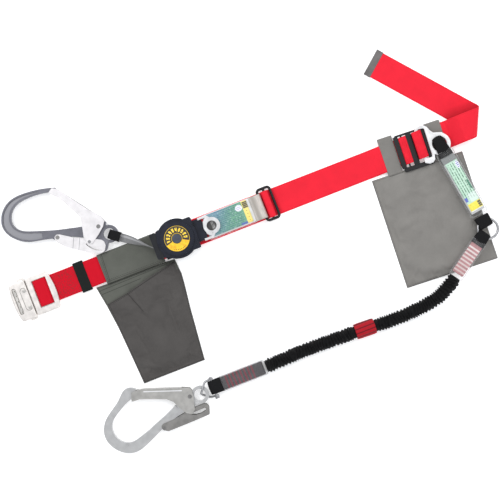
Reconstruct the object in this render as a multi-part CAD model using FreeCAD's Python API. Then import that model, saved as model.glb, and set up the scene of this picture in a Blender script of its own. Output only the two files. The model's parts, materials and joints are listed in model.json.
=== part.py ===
import FreeCAD, Part
import math
import os

# Fall-arrest body belt with two shock absorbing lanyards, laid flat.
# Layout coordinates in millimetres: X runs along the belt, Y across it and Z up from the
# surface that it lies on. LAYOUT_SHIFT moves the layout's middle to the object's origin,
# which is the centre of the bottom of its bounding box.

V = FreeCAD.Vector
UP = V(0, 0, 1)
os.makedirs("parts", exist_ok=True)

LAYOUT_SHIFT = V(-23.12, 4.94, 0)

# Driving dimensions
BELT_WIDTH = 50.0
BELT_T = 2.0
BELT_Y = 66.0
BELT_Y0 = BELT_Y - BELT_WIDTH / 2
BELT_Y1 = BELT_Y + BELT_WIDTH / 2
Z_LYING = 1.6            # middle of the belt where it lies free
Z_TAIL = 2.6             # doubled-back tail by the buckle
Z_LEFT = 4.9             # belt through keeper, pouch sleeve and reel
Z_RIGHT = 6.0            # belt through the right-hand loops and retainer
GAP = 0.3                # clearance between neighbouring bodies
PIN_PLAY = 0.05          # radial running clearance of a pin

FOLD_ANGLE = 65.0        # direction of the fold's axis, from +X
FOLD_RADIUS = 11.0
FOLD_X = 457.5           # where the belt's middle meets the fold
FOLD_TOP = Z_LYING + 2 * FOLD_RADIUS
FREE_END = 207.0         # belt after the fold
TIP_LENGTH = 13.0

FRAME_TOP = 11.0         # buckle's tongue half
FRAME_BOW = 128.0        # radius of its bowed outer edge
HOUSING_TOP = 13.4       # buckle's latch half
HOUSING_BOW = 140.0
RIVET_X = -409.6
RIVET_Y = (48.6, 80.2)
GRIP_NOTCHES, NOTCH_PITCH = 5, 10.1

GLIDE_Z, GLIDE_WIRE_R = 8.0, 2.5
GLIDE_X0, GLIDE_X1 = 49.5, 73.6
GLIDE_EYE_R = GLIDE_WIRE_R + 0.4

REEL_X, REEL_Y = -115.0, 67.0
REEL_R = 36.5
REEL_FLOOR = 10.6
REEL_SPLIT = 26.0        # where the two shells meet
REEL_TOP = 38.4
REEL_WALL = 2.4
AXLE_R = 4.0
LABEL_OUTER, LABEL_INNER = 23.0, 9.2
CAP_R = 8.8
PAWL_X, PAWL_Y = REEL_X + 24.5, REEL_Y - 12.5
PAWL_PIN_R = 2.0
RATCHET_TEETH = 16
RATCHET_TIP_R, RATCHET_ROOT_R = 20.0, 17.0
REEL_SCREWS = [(-143.5, 46.5), (-143.5, 87.5), (-83.5, 41.0), (-83.5, 92.0)]
SCREW_HOLE_R, SCREW_SINK_R = 1.6, 2.9
STRAP_A_Z = 25.0         # middle of lanyard A's webbing at the reel
STRAP_A_W = 15.5
STRAP_A_T = 1.6
GUIDE_X, GUIDE_Y = -160.0, 65.8

HOOK_Z = 9.0             # mid plane of both hooks
HOOK_T = 10.0
EYE_T = 8.0
EYE_R, EYE_HOLE = 16.5, 10.5
CHEEK_T = 1.4
LEVER_CHEEK = 5.4        # inner face of the lever's cheeks, from the mid plane
GATE_CHEEK = 7.2
HOOK_PIN_R = 3.0
PIN_BOSS_GATE, PIN_BOSS_LEVER = 8.5, 5.6
SPRING_ROOM_R, SPRING_ROOM_DEPTH = 6.2, 4.4
STUD_R = 2.7
RIVET_HEAD_R, RIVET_PROUD = 3.8, 0.35
HOOK_A_EYE = (-228.1, 120.5)
HOOK_A_TURN = -26.0
SLEEVE_A_END = 21.2      # sewn end of the sleeve, from the eye
SLEEVE_A_W = 18.4
HOOK_B_EYE = (-180.5, -212.5)
HOOK_B_TURN = 4.0

PANEL_TILT = -2.95       # the right-hand group lies a little askew
PANEL_CORNER = (253.0, 37.0)
PANEL_W, PANEL_H = 175.0, 207.0
PANEL_Z = 7.2

DRING_Z0, DRING_T = 11.5, 4.0
DRING_EYE = (391.0, 55.0)
DRING_HOLE = 13.5
DRING_R = 20.5
DRING_EDGE = 0.9

LOOP_T = 1.5             # lanyard webbing
CASE_B_ANGLE = -81.6
CASE_B_LENGTH, CASE_B_WIDTH = 134.0, 33.0
CASE_B_Z0, CASE_B_Z1 = 8.2, 22.2
RING_X, RING_Y, RING_Z = 417.0, -121.0, 14.0
RING_R, RING_WIRE = 18.2, 4.5
COVER_B_ANGLE = 214.6
COVER_B_START, COVER_B_END = 26.0, 106.5
COVER_B_HALF_Z = 5.5

LOWER_Y = -208.2         # middle of the lower cover and its webbing
LOWER_Z0, LOWER_Z1 = 3.4, 16.6
SHACKLE_PIN_X = -152.5
SHACKLE_PIN_R = 2.5

CORD_D = 22.0
# Middle of the bungee, from the upper cover to the lower one
CORD_ROUTE = [
    (329.31, -181.49, 14.0),
    (305.47, -197.94, 14.0),
    (274.0, -208.5, 12.2),
    (236.0, -212.5, 11.0),
    (194.0, -213.2, 11.0),
    (150.0, -210.0, 11.0),
    (104.0, -208.3, 11.0),
    (56.0, -206.4, 11.0),
    (8.0, -206.6, 11.0),
    (-24.0, -208.2, 11.0),
    (-50.0, -208.2, 11.0),
]


def save(name, shape):
    """Write one node, moved from the layout to the object's own frame."""
    moved = shape.copy()
    moved.translate(LAYOUT_SHIFT)
    if not moved.isValid():
        print("not valid:", name)
    moved.exportStep("parts/" + name + ".step")
    SAVED[name] = moved


SAVED = {}


def box(x0, x1, y0, y1, z0, z1):
    return Part.makeBox(x1 - x0, y1 - y0, z1 - z0, V(x0, y0, z0))


def soft_box(x0, x1, y0, y1, z0, z1, radius):
    """A box with its upright edges rounded."""
    block = box(x0, x1, y0, y1, z0, z1)
    return round_upright(block, radius)


def round_upright(shape, radius):
    edges = [e for e in shape.Edges if abs(e.tangentAt(e.FirstParameter).z) > 0.99]
    return shape.makeFillet(radius, edges)


def round_level(shape, radius, z):
    """Round the edges that lie at one height."""
    edges = [e for e in shape.Edges
             if abs(e.BoundBox.ZMin - z) < 1e-4 and abs(e.BoundBox.ZMax - z) < 1e-4]
    return shape.makeFillet(radius, edges)


def disc(x, y, radius, z0, z1):
    return Part.makeCylinder(radius, z1 - z0, V(x, y, z0))


def ring(x, y, outer, inner, z0, z1):
    return disc(x, y, outer, z0, z1).cut(disc(x, y, inner, z0 - 1, z1 + 1))


def prism(points, z0, z1):
    corners = [V(x, y, z0) for x, y in points]
    face = Part.Face(Part.makePolygon(corners + [corners[0]]))
    return face.extrude(V(0, 0, z1 - z0))


def placed(shape, x, y, turn, z=0.0):
    """Turn a shape made about its own origin and set it down in the layout."""
    moved = shape.copy()
    moved.rotate(V(0, 0, 0), UP, turn)
    moved.translate(V(x, y, z))
    return moved


def spot(x, y, origin, turn):
    """Layout place of a local point."""
    a = math.radians(turn)
    return (origin[0] + x * math.cos(a) - y * math.sin(a),
            origin[1] + x * math.sin(a) + y * math.cos(a))


def corner_arc(before, corner, after, radius):
    """Tangent points and middle of the arc that rounds one corner."""
    to_before = (before - corner).normalize()
    to_after = (after - corner).normalize()
    turn = math.pi - to_before.getAngle(to_after)
    reach = radius * math.tan(turn / 2)
    start = corner + to_before * reach
    end = corner + to_after * reach
    inward = (to_before + to_after).normalize()
    centre = corner + inward * (radius / math.cos(turn / 2))
    middle = centre - inward * radius
    return start, middle, end, centre


def band_face(points, radii, thickness, normal):
    """Section of a strip that follows straight runs and arcs in one plane."""
    half = thickness / 2
    near, far = [], []

    def side(direction):
        return direction.cross(normal).normalize() * half

    last = points[0]
    for i in range(1, len(points) - 1):
        start, middle, end, centre = corner_arc(points[i - 1], points[i], points[i + 1],
                                                radii[i - 1])
        into = points[i] - points[i - 1]
        out = points[i + 1] - points[i]
        offset_in, offset_out = side(into), side(out)
        offset_mid = (offset_in + offset_out).normalize() * half
        for edges, sign in ((near, 1), (far, -1)):
            edges.append(Part.LineSegment(last + offset_in * sign, start + offset_in * sign))
            edges.append(Part.Arc(start + offset_in * sign, middle + offset_mid * sign,
                                  end + offset_out * sign))
        last = end
    offset = side(points[-1] - points[-2])
    for edges, sign in ((near, 1), (far, -1)):
        edges.append(Part.LineSegment(last + offset * sign, points[-1] + offset * sign))
    first = side(points[1] - points[0])
    closing = [
        Part.LineSegment(points[0] + first, points[0] - first),
        Part.LineSegment(points[-1] + offset, points[-1] - offset),
    ]
    shapes = [edge.toShape() for edge in near + far + closing]
    wire = Part.Wire(Part.__sortEdges__(shapes))
    return Part.Face(wire)


def webbing_loop(nose, tail, z0, z1, width, thickness=LOOP_T):
    """A flat closed loop of webbing along local X, from its nose to its sewn tail."""
    height = z1 - z0
    outer = box(nose, tail, -width / 2, width / 2, z0, z1)
    nose_edges = [e for e in outer.Edges
                  if abs(e.BoundBox.XMax - nose) < 1e-4 and e.BoundBox.ZLength < 1e-4]
    outer = outer.makeFillet(height / 2 - 0.2, nose_edges)
    inner_r = height / 2 - thickness
    inner = box(nose + thickness, tail - 2 * thickness, -width, width,
                z0 + thickness, z1 - thickness)
    inner_edges = [e for e in inner.Edges
                   if abs(e.BoundBox.XMax - nose - thickness) < 1e-4
                   and e.BoundBox.ZLength < 1e-4]
    inner = inner.makeFillet(inner_r - 0.2, inner_edges)
    return outer.cut(inner)


def rod_path(points, radii):
    edges = []
    last = points[0]
    for i in range(1, len(points) - 1):
        start, middle, end, centre = corner_arc(points[i - 1], points[i], points[i + 1],
                                                radii[i - 1])
        edges.append(Part.LineSegment(last, start).toShape())
        edges.append(Part.Arc(start, middle, end).toShape())
        last = end
    edges.append(Part.LineSegment(last, points[-1]).toShape())
    return Part.Wire(edges)


def rod(points, radii, diameter):
    """A round rod or tube on straight runs joined by tangent arcs."""
    path = rod_path(points, radii)
    section = Part.makeCircle(diameter / 2, points[0], points[1] - points[0])
    return path.makePipeShell([Part.Wire([section])], True, False), path


def spline_band(stations, z0, z1):
    """A smooth bent bar: each station is (x, y, width) on its middle line."""
    middle = Part.BSplineCurve()
    middle.interpolate([V(x, y, z0) for x, y, width in stations])
    left, right = [], []
    for x, y, width in stations:
        tangent = middle.tangent(middle.parameter(V(x, y, z0)))[0]
        across = UP.cross(tangent).normalize() * (width / 2)
        left.append(V(x, y, z0) + across)
        right.append(V(x, y, z0) - across)
    edges = []
    for side in (left, right):
        curve = Part.BSplineCurve()
        curve.interpolate(side)
        edges.append(curve.toShape())
    edges.append(Part.LineSegment(left[0], right[0]).toShape())
    edges.append(Part.LineSegment(left[-1], right[-1]).toShape())
    face = Part.Face(Part.Wire(Part.__sortEdges__(edges)))
    return face.extrude(V(0, 0, z1 - z0))


# ---------------------------------------------------------------- belt and buckle

def make_belt():
    profile = [
        (-276, Z_TAIL), (-391.2, Z_TAIL), (-391.2, 9.2), (-370.4, 9.2), (-364.8, Z_LEFT),
        (-80, Z_LEFT), (-68, Z_LYING),
        (55.2, Z_LYING), (57.4, 12.1), (66.6, 12.1), (68.8, Z_LYING),
        (268, Z_LYING), (283, Z_RIGHT),
        (323.5, Z_RIGHT), (325.3, 11.4), (333.2, 11.4), (335.0, Z_RIGHT),
        (349.6, Z_RIGHT), (350.9, 17.2), (364.2, 17.2), (365.4, Z_RIGHT),
        (415, Z_RIGHT), (437, FOLD_TOP), (441, FOLD_TOP),
    ]
    points = [V(x, BELT_Y0, z) for x, z in profile]
    radii = [3.2, 3.2, 5, 5, 8, 8, 1.8, 1.8, 1.8, 1.8, 8, 8,
             1.8, 1.8, 1.8, 1.8, 1.8, 1.8, 1.8, 1.8, 8, 4]
    strip = band_face(points, radii, BELT_T, V(0, 1, 0)).extrude(V(0, BELT_WIDTH, 0))

    axis = V(math.cos(math.radians(FOLD_ANGLE)), math.sin(math.radians(FOLD_ANGLE)), 0)
    out = V(axis.y, -axis.x, 0)
    middle = V(FOLD_X, BELT_Y, 0)
    half_run = BELT_WIDTH / 2 / axis.y

    def ruling(angle):
        """The strip's section along one line of the fold, as a thin rectangle."""
        wound = FOLD_RADIUS * angle
        along = wound / out.x * axis.x
        foot = middle + axis * along
        radial = out * math.sin(angle) + UP * math.cos(angle)
        centre = foot + UP * (Z_LYING + FOLD_RADIUS) + radial * FOLD_RADIUS
        corners = [
            centre - axis * half_run - radial * (BELT_T / 2),
            centre + axis * half_run - radial * (BELT_T / 2),
            centre + axis * half_run + radial * (BELT_T / 2),
            centre - axis * half_run + radial * (BELT_T / 2),
        ]
        return Part.makePolygon(corners + [corners[0]])

    steps = 8
    sections = [ruling(math.pi * i / steps) for i in range(steps + 1)]
    fold = Part.makeLoft(sections, True, False)

    upper = [(440.9, BELT_Y0), (FOLD_X - half_run * axis.x, BELT_Y0),
             (FOLD_X + half_run * axis.x, BELT_Y1), (440.9, BELT_Y1)]
    upper_flat = prism(upper, FOLD_TOP - BELT_T / 2, FOLD_TOP + BELT_T / 2)

    along = FOLD_RADIUS * math.pi / out.x * axis.x
    foot = middle + axis * along
    leave = math.radians(2 * FOLD_ANGLE)
    heading = V(math.cos(leave), math.sin(leave), 0)
    across = V(-heading.y, heading.x, 0) * (BELT_WIDTH / 2)
    near = foot - axis * half_run
    far = foot + axis * half_run
    end = foot + heading * FREE_END
    lower = [(near.x, near.y), (far.x, far.y),
             (end.x - across.x, end.y - across.y), (end.x + across.x, end.y + across.y)]
    lower_flat = prism(lower, Z_LYING - BELT_T / 2, Z_LYING + BELT_T / 2)
    belt = strip.fuse([upper_flat, fold, lower_flat]).removeSplitter()
    save("belt_webbing", belt)

    tip_start = foot + heading * (FREE_END - TIP_LENGTH + 2)
    shell = box(0, TIP_LENGTH, -BELT_WIDTH / 2 - 0.8, BELT_WIDTH / 2 + 0.8, 0.1, 3.1)
    inside = box(-1, TIP_LENGTH - 2 + 0.1, -BELT_WIDTH / 2 - 0.1, BELT_WIDTH / 2 + 0.1,
                 Z_LYING - BELT_T / 2 - 0.1, Z_LYING + BELT_T / 2 + 0.1)
    tip = placed(shell.cut(inside), tip_start.x, tip_start.y, 2 * FOLD_ANGLE)
    save("belt_end_tip", tip)


def make_buckle():
    frame = box(-403.0, -353, 28.5, 101.5, 0.6, FRAME_TOP)
    frame = frame.common(disc(-355 - FRAME_BOW, 62, FRAME_BOW, 0, FRAME_TOP + 1))
    frame = round_upright(frame, 5)
    frame = round_level(frame, 2.0, FRAME_TOP)
    window = soft_box(-392.8, -365.3, 39.4, 91.6, -1, FRAME_TOP + 1, 1.2)
    belt_way = box(-367, -350, 40.4, 91.6, -1, 7.4)
    bar_way = box(-390.2, -369.4, 36.6, 95.4, 4.0, 8.0)
    frame = frame.cut(window).cut(belt_way).cut(bar_way)
    tongue = soft_box(-421.8, -402.7, 54, 75.0, 3.2, 6.4, 2)
    tongue_hole = soft_box(-417.8, -410.8, 58, 71.6, 2, 8, 1)
    frame = frame.fuse(tongue.cut(tongue_hole)).removeSplitter()
    save("buckle_frame", frame)

    slide_bar = box(-387.8, -371.4, 36.8, 95.2, 4.2, 7.8)
    ends = [e for e in slide_bar.Edges if abs(e.tangentAt(e.FirstParameter).y) > 0.99]
    save("buckle_slide_bar", slide_bar.makeFillet(1.2, ends))

    housing = box(-440, -404.2, 27.6, 100.2, 0.4, HOUSING_TOP)
    housing = housing.common(disc(-437.4 + HOUSING_BOW, 66, HOUSING_BOW, 0, HOUSING_TOP + 1))
    housing = round_upright(housing, 4)
    housing = round_level(housing, 2.4, HOUSING_TOP)
    inside = box(-422.3, -402.8, 33, 96, 2.6, 10.4)
    tongue_way = box(-404.8, -402.8, 50, 80, 2.4, 7.4)
    button_low = box(-417.2, -404.7, 20, 40, 2.6, 10.4)
    button_high = box(-417.2, -404.7, 90, 110, 2.6, 10.4)
    belt_slot = box(-432.2, -423.4, 40, 92, -1, 9.9)
    grip_slot = soft_box(-431.4, -424.0, 40.5, 90.5, 9, HOUSING_TOP + 1, 3)
    guide = box(-433.6, -422.2, 37.4, 94.6, 5.0, 9.0)
    housing = housing.cut(inside).cut(tongue_way).cut(button_low).cut(button_high)
    housing = housing.cut(belt_slot).cut(grip_slot).cut(guide)
    for y in RIVET_Y:
        housing = housing.cut(disc(RIVET_X, y, 2.5, -1, HOUSING_TOP + 1))
    save("buckle_housing", housing)

    rivets = []
    for y in RIVET_Y:
        head = disc(RIVET_X, y, 3.6, HOUSING_TOP, HOUSING_TOP + 0.8)
        head = round_level(head, 0.6, HOUSING_TOP + 0.8)
        rivets.append(head.fuse(disc(RIVET_X, y, 2.5, 0.5, HOUSING_TOP)).removeSplitter())
    save("buckle_rivets", Part.Compound(rivets))

    bar = box(-430.4, -425.0, 38.4, 93.6, 5.3, 8.7)
    crown = soft_box(-430.0, -425.4, 42, 89, 8.6, 11.6, 2.2)
    bar = bar.fuse(crown).removeSplitter()
    for i in range(GRIP_NOTCHES):
        notch = Part.makeSphere(1.7, V(-425.7, 44.8 + NOTCH_PITCH * i, 11.4))
        bar = bar.cut(notch)
    save("buckle_grip_bar", bar)

    for name, inner, outer in (("buckle_button_lower", 41.5, 23.8),
                               ("buckle_button_upper", 87.6, 105.8)):
        low, high = min(inner, outer), max(inner, outer)
        button = box(-416.8, -405.1, low, high, 3.0, 10.0)
        edges = [e for e in button.Edges
                 if abs(e.BoundBox.YMin - outer) < 1e-4 and abs(e.BoundBox.YMax - outer) < 1e-4]
        save(name, button.makeFillet(1.5, edges))

    keeper = soft_sleeve(-312, -293, 37.5, 94.5, 0.2, 7.3, 1.1)
    save("belt_keeper", keeper)


def soft_sleeve(x0, x1, y0, y1, z0, z1, wall):
    """A flat sleeve round the belt, open at both ends."""
    outer = box(x0, x1, y0, y1, z0, z1)
    long_edges = [e for e in outer.Edges if abs(e.tangentAt(e.FirstParameter).x) > 0.99]
    outer = outer.makeFillet(min(1.6, (z1 - z0) / 2.2), long_edges)
    inner = box(x0 - 1, x1 + 1, y0 + wall, y1 - wall, z0 + wall, z1 - wall)
    return outer.cut(inner)


def make_tri_glide():
    x0, x1, y0, y1, z = GLIDE_X0, GLIDE_X1, 37.6, 96.4, GLIDE_Z
    corner = 5.0
    corners = [V((x0 + x1) / 2, y0, z), V(x0, y0, z), V(x0, y1, z), V(x1, y1, z), V(x1, y0, z),
               V((x0 + x1) / 2, y0, z)]
    frame, path = rod(corners, [corner] * 4, 2 * GLIDE_WIRE_R)
    bar = Part.makeCylinder(GLIDE_WIRE_R, y1 - y0, V(62, y0, z), V(0, 1, 0))
    save("tri_glide", frame.fuse(bar).removeSplitter())


# ---------------------------------------------------------------- pouches

LEFT_BACK = [(-287, 38.5), (-134.2, 34.6), (-132, 5), (-134, -15), (-140, -60), (-150, -157),
             (-268.5, -157), (-275, -50), (-280, 0)]
LEFT_FRONT = [(-278.6, 2), (-237, 8), (-200, 20), (-150, 33), (-134.6, 34.2), (-132, 5),
              (-134, -15), (-140, -60), (-150, -157), (-268.5, -157), (-275, -50)]


def make_left_pouch():
    sleeve = soft_sleeve(-265, -151, 36.2, 92.5, 1.7, 8.4, 1.1)
    save("left_pouch_sleeve", sleeve)
    save("left_pouch_back", prism(LEFT_BACK, 0.0, 1.4))
    front = prism(LEFT_FRONT, 1.7, 10.1)
    pocket = [(-274, 16), (-152, 46), (-139, 46), (-145, -60), (-154.5, -153),
              (-264, -153), (-270.5, -50)]
    front = front.cut(prism(pocket, 2.8, 9.0))
    save("left_pouch_front", front)


def panel(shape):
    return placed(shape, PANEL_CORNER[0], PANEL_CORNER[1], PANEL_TILT)


def make_right_pouch():
    back = box(0, PANEL_W, -PANEL_H, 0, 0, 1.2)
    save("right_pouch_back", panel(back))
    front = box(0, PANEL_W, -PANEL_H, -0.4, 1.4, PANEL_Z)
    front = front.cut(box(3, PANEL_W - 3, -PANEL_H + 3, 1, 1.6, PANEL_Z - 1.1))
    save("right_pouch_front", panel(front))
    loops = []
    for x0, x1 in ((32.0, 59.0), (121.5, 150.5)):
        loop = soft_sleeve(x0, x1, 0.3, 68.0, 2.0, 7.9, 0.7)
        loops.append(panel(loop))
    save("right_pouch_loops", Part.Compound(loops))


# ---------------------------------------------------------------- retainer and D-ring

def make_retainer():
    x0, x1 = 62.5, 126.0
    plate = soft_box(x0, x1 - 6.5, -5.5, 64, 7.8, 10.8, 3)
    plate = round_level(plate, 1.0, 10.8)
    first = soft_box(66.0, 84.0, 2.6, 60.4, 7, 12, 2)
    second = soft_box(92.2, 114.0, 2.6, 60.4, 7, 12, 2)
    plate = plate.cut(first).cut(second)
    low_bar = box(73.2, 76.2, 1.0, 62.0, 6.6, 9.4)
    plate = plate.fuse(low_bar).removeSplitter()
    save("d_ring_retainer", panel(plate))


def make_d_ring():
    eye = (DRING_EYE[0], DRING_EYE[1])
    z0, z1 = DRING_Z0, DRING_Z0 + DRING_T
    outline = [(354.5, 31.5), (362, 27.2), (369, 27.4), (374, 31.5), (376, 40),
               (398, 37), (408, 47), (410, 56), (408, 66), (402, 73.5), (387, 78.5),
               (383, 85), (380.5, 92), (374, 97.8), (366, 98.6), (357.5, 94.5),
               (354.5, 87.5)]
    body = prism(outline, z0, z1)
    body = round_upright(body, 1.0)
    body = body.fuse(disc(eye[0], eye[1], DRING_R, z0, z1)).removeSplitter()
    slot = prism([(359.6, 38.8), (371.0, 37.4), (374.6, 91.8), (361.9, 93.4)], z0 - 1, z1 + 1)
    slot = round_upright(slot, 3.2)
    body = body.cut(slot).cut(disc(eye[0], eye[1], DRING_HOLE, z0 - 1, z1 + 1))
    body = body.makeFillet(DRING_EDGE, [e for e in body.Edges if e.BoundBox.ZLength < 1e-4])
    save("d_ring", body)


# ---------------------------------------------------------------- reel

def spiral_strip(x, y, r0, pitch, half_turns, thickness, z0, z1):
    """A flat spring wound in half circles, each a little wider than the last."""
    edges = {1: [], -1: []}
    centre, radius = V(x, y, z0), r0
    for i in range(half_turns):
        sign = 1 if i % 2 == 0 else -1
        for side in (1, -1):
            reach = radius + side * thickness / 2
            start = centre + V(sign * reach, 0, 0)
            middle = centre + V(0, sign * reach, 0)
            end = centre - V(sign * reach, 0, 0)
            edges[side].append(Part.Arc(start, middle, end).toShape())
        centre = centre + V(sign * pitch / 2, 0, 0)
        radius = radius + pitch / 2
    ends = []
    for pick in (0, -1):
        vertex = 0 if pick == 0 else -1
        a = edges[1][pick].Vertexes[vertex].Point
        b = edges[-1][pick].Vertexes[vertex].Point
        ends.append(Part.LineSegment(a, b).toShape())
    wire = Part.Wire(Part.__sortEdges__(edges[1] + edges[-1] + ends))
    return Part.Face(wire).extrude(V(0, 0, z1 - z0))


def strap_line():
    """Eye of hook A, the guide, the heading between them and where it meets the winding."""
    eye = V(HOOK_A_EYE[0], HOOK_A_EYE[1], 0)
    guide = V(GUIDE_X, GUIDE_Y, 0)
    heading = (guide - eye).normalize()
    to_guide = guide - V(REEL_X, REEL_Y, 0)
    reach = -to_guide.dot(heading)
    foot = guide + heading * reach
    wound_r = (foot - V(REEL_X, REEL_Y, 0)).Length
    return eye, guide, heading, foot, wound_r


def make_reel():
    z0 = REEL_FLOOR
    split = REEL_SPLIT
    eye, guide, heading, foot, wound_r = strap_line()
    strap_turn = math.degrees(math.atan2(heading.y, heading.x))

    outer = disc(REEL_X, REEL_Y, REEL_R, z0, REEL_TOP)
    outer = outer.fuse(soft_box(-148, REEL_X, 41.5, 92.5, z0, REEL_TOP - 3, 3))
    outer = outer.fuse(soft_box(REEL_X, -79.5, 37, 96, z0, REEL_TOP - 5, 3))
    outer = outer.removeSplitter()
    cavity = disc(REEL_X, REEL_Y, REEL_R - REEL_WALL, z0 + REEL_WALL, REEL_TOP - 3.2)
    strap_way = placed(box(-60, 45, -1.6, 1.6, STRAP_A_Z - 8.6, STRAP_A_Z + 8.6),
                       guide.x, guide.y, strap_turn)
    low_half = box(-200, 0, 0, 140, z0 - 1, split)
    high_half = box(-200, 0, 0, 140, split + 0.1, REEL_TOP + 1)

    back = outer.common(low_half).cut(cavity).cut(strap_way)
    neck = soft_box(-80, -62.6, 46.6, 87.4, z0, 24.4, 1.5)
    clip = box(-146, -84, 37.6, 94.4, 0.4, z0 + 0.2)
    clip = clip.cut(box(-150, -80, 40.4, 91.6, 2.6, z0 - 1.2))
    back = back.fuse([neck, clip]).removeSplitter()
    back = back.cut(disc(REEL_X, REEL_Y, AXLE_R, z0 - 1, z0 + 4))
    pawl_pin = disc(PAWL_X, PAWL_Y, PAWL_PIN_R, z0 + REEL_WALL - 0.1, 15.6)
    back = back.fuse(pawl_pin)
    for x, y in REEL_SCREWS:
        back = back.cut(disc(x, y, SCREW_HOLE_R, z0 - 1, split + 1))
        back = back.cut(disc(x, y, SCREW_SINK_R, z0 - 1, z0 + 1.8))
    save("reel_back_shell", back)

    front = outer.common(high_half).cut(cavity).cut(strap_way)
    step = ring(REEL_X, REEL_Y, REEL_R + 1, 31.0, REEL_TOP - 3.0, REEL_TOP + 1)
    front = front.cut(step)
    front = front.cut(disc(REEL_X, REEL_Y, LABEL_OUTER + GAP, REEL_TOP - 1.2, REEL_TOP + 1))
    front = front.cut(disc(REEL_X, REEL_Y, AXLE_R + PIN_PLAY, REEL_TOP - 6, REEL_TOP))
    for x, y in REEL_SCREWS:
        front = front.cut(disc(x, y, SCREW_HOLE_R, split - 1, split + 6))
    save("reel_front_shell", front)

    save("reel_axle", disc(REEL_X, REEL_Y, AXLE_R, z0 + 0.2, REEL_TOP - 1.3))

    drum = disc(REEL_X, REEL_Y, 13.0, 15.8, 34.4)
    drum = drum.fuse([disc(REEL_X, REEL_Y, 31.5, 15.8, 16.8),
                      disc(REEL_X, REEL_Y, 31.5, 33.4, 34.4)]).removeSplitter()
    drum = drum.cut(disc(REEL_X, REEL_Y, 11.6, 18, 36))
    drum = drum.cut(disc(REEL_X, REEL_Y, AXLE_R + PIN_PLAY, 15, 36))
    save("reel_drum", drum)

    winding = ring(REEL_X, REEL_Y, wound_r - STRAP_A_T / 2 - 0.1, 13.0,
                   STRAP_A_Z - STRAP_A_W / 2, STRAP_A_Z + STRAP_A_W / 2)
    save("reel_webbing", winding)
    save("reel_power_spring", spiral_strip(REEL_X, REEL_Y, 5.4, 1.15, 9, 0.4, 18.6, 32.0))

    points = []
    for i in range(RATCHET_TEETH):
        tip = 2 * math.pi * i / RATCHET_TEETH
        root = 2 * math.pi * (i + 0.12) / RATCHET_TEETH
        points.append((REEL_X + RATCHET_TIP_R * math.cos(tip),
                       REEL_Y + RATCHET_TIP_R * math.sin(tip)))
        points.append((REEL_X + RATCHET_ROOT_R * math.cos(root),
                       REEL_Y + RATCHET_ROOT_R * math.sin(root)))
    wheel = prism(points, 13.4, 15.4).cut(disc(REEL_X, REEL_Y, AXLE_R + PIN_PLAY, 12, 17))
    save("reel_ratchet", wheel)

    pawl = disc(PAWL_X, PAWL_Y, 4.0, 13.3, 15.3)
    nose = prism([(PAWL_X - 3.6, PAWL_Y + 1.6), (PAWL_X - 3.6, PAWL_Y + 12.4),
                  (PAWL_X - 0.8, PAWL_Y + 13.2), (PAWL_X + 3.6, PAWL_Y + 1.4)], 13.3, 15.3)
    pawl = pawl.fuse(nose).removeSplitter()
    pawl = pawl.cut(disc(PAWL_X, PAWL_Y, PAWL_PIN_R + PIN_PLAY, 12, 17))
    save("reel_pawl", pawl)

    block = soft_box(-160.5, -148.3, 43, 91, 13.6, 34.8, 2.5)
    block = block.cut(strap_way).cut(disc(REEL_X, REEL_Y, REEL_R + GAP, 0, 50))
    save("reel_webbing_guide", block)

    label = ring(REEL_X, REEL_Y, LABEL_OUTER, LABEL_INNER, REEL_TOP - 1.1, REEL_TOP + 0.5)
    save("reel_label_ring", label)
    cap = disc(REEL_X, REEL_Y, CAP_R, REEL_TOP - 1.1, REEL_TOP + 2.4)
    save("reel_centre_cap", round_level(cap, 1.6, REEL_TOP + 2.4))

    screws = []
    for x, y in REEL_SCREWS:
        head = disc(x, y, SCREW_SINK_R - 0.2, z0 + 0.1, z0 + 1.7)
        shank = disc(x, y, SCREW_HOLE_R - 0.1, z0 + 1.7, split + 4.5)
        screws.append(head.fuse(shank).removeSplitter())
    save("reel_screws", Part.Compound(screws))

    plate = disc(-48.5, 66.5, 15.5, 25.0, 28.6)
    point = prism([(-64, 66.5), (-61.5, 78), (-52, 87.4), (-47, 82), (-34, 70), (-34, 63),
                   (-47, 51), (-52, 45.6), (-61.5, 55)], 25.0, 28.6)
    arms = [box(-69, -52, 84.2, 88.2, 25.0, 28.6), box(-69, -52, 44.8, 48.8, 25.0, 28.6)]
    feet = [box(-69, -64.5, 84.0, 88.2, 18.0, 28.6), box(-69, -64.5, 44.8, 49.0, 18.0, 28.6)]
    plate = plate.fuse([point] + arms + feet).removeSplitter()
    plate = plate.cut(disc(-48.5, 66.5, 9.0, 20, 32))
    plate = plate.cut(box(-84, -62.3, 46.3, 87.7, 10, 24.7))
    plate = plate.makeFillet(0.8, [e for e in plate.Edges
                                   if abs(e.BoundBox.ZMin - 28.6) < 1e-4])
    save("reel_eye_bracket", plate)


# ---------------------------------------------------------------- absorber A

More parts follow.
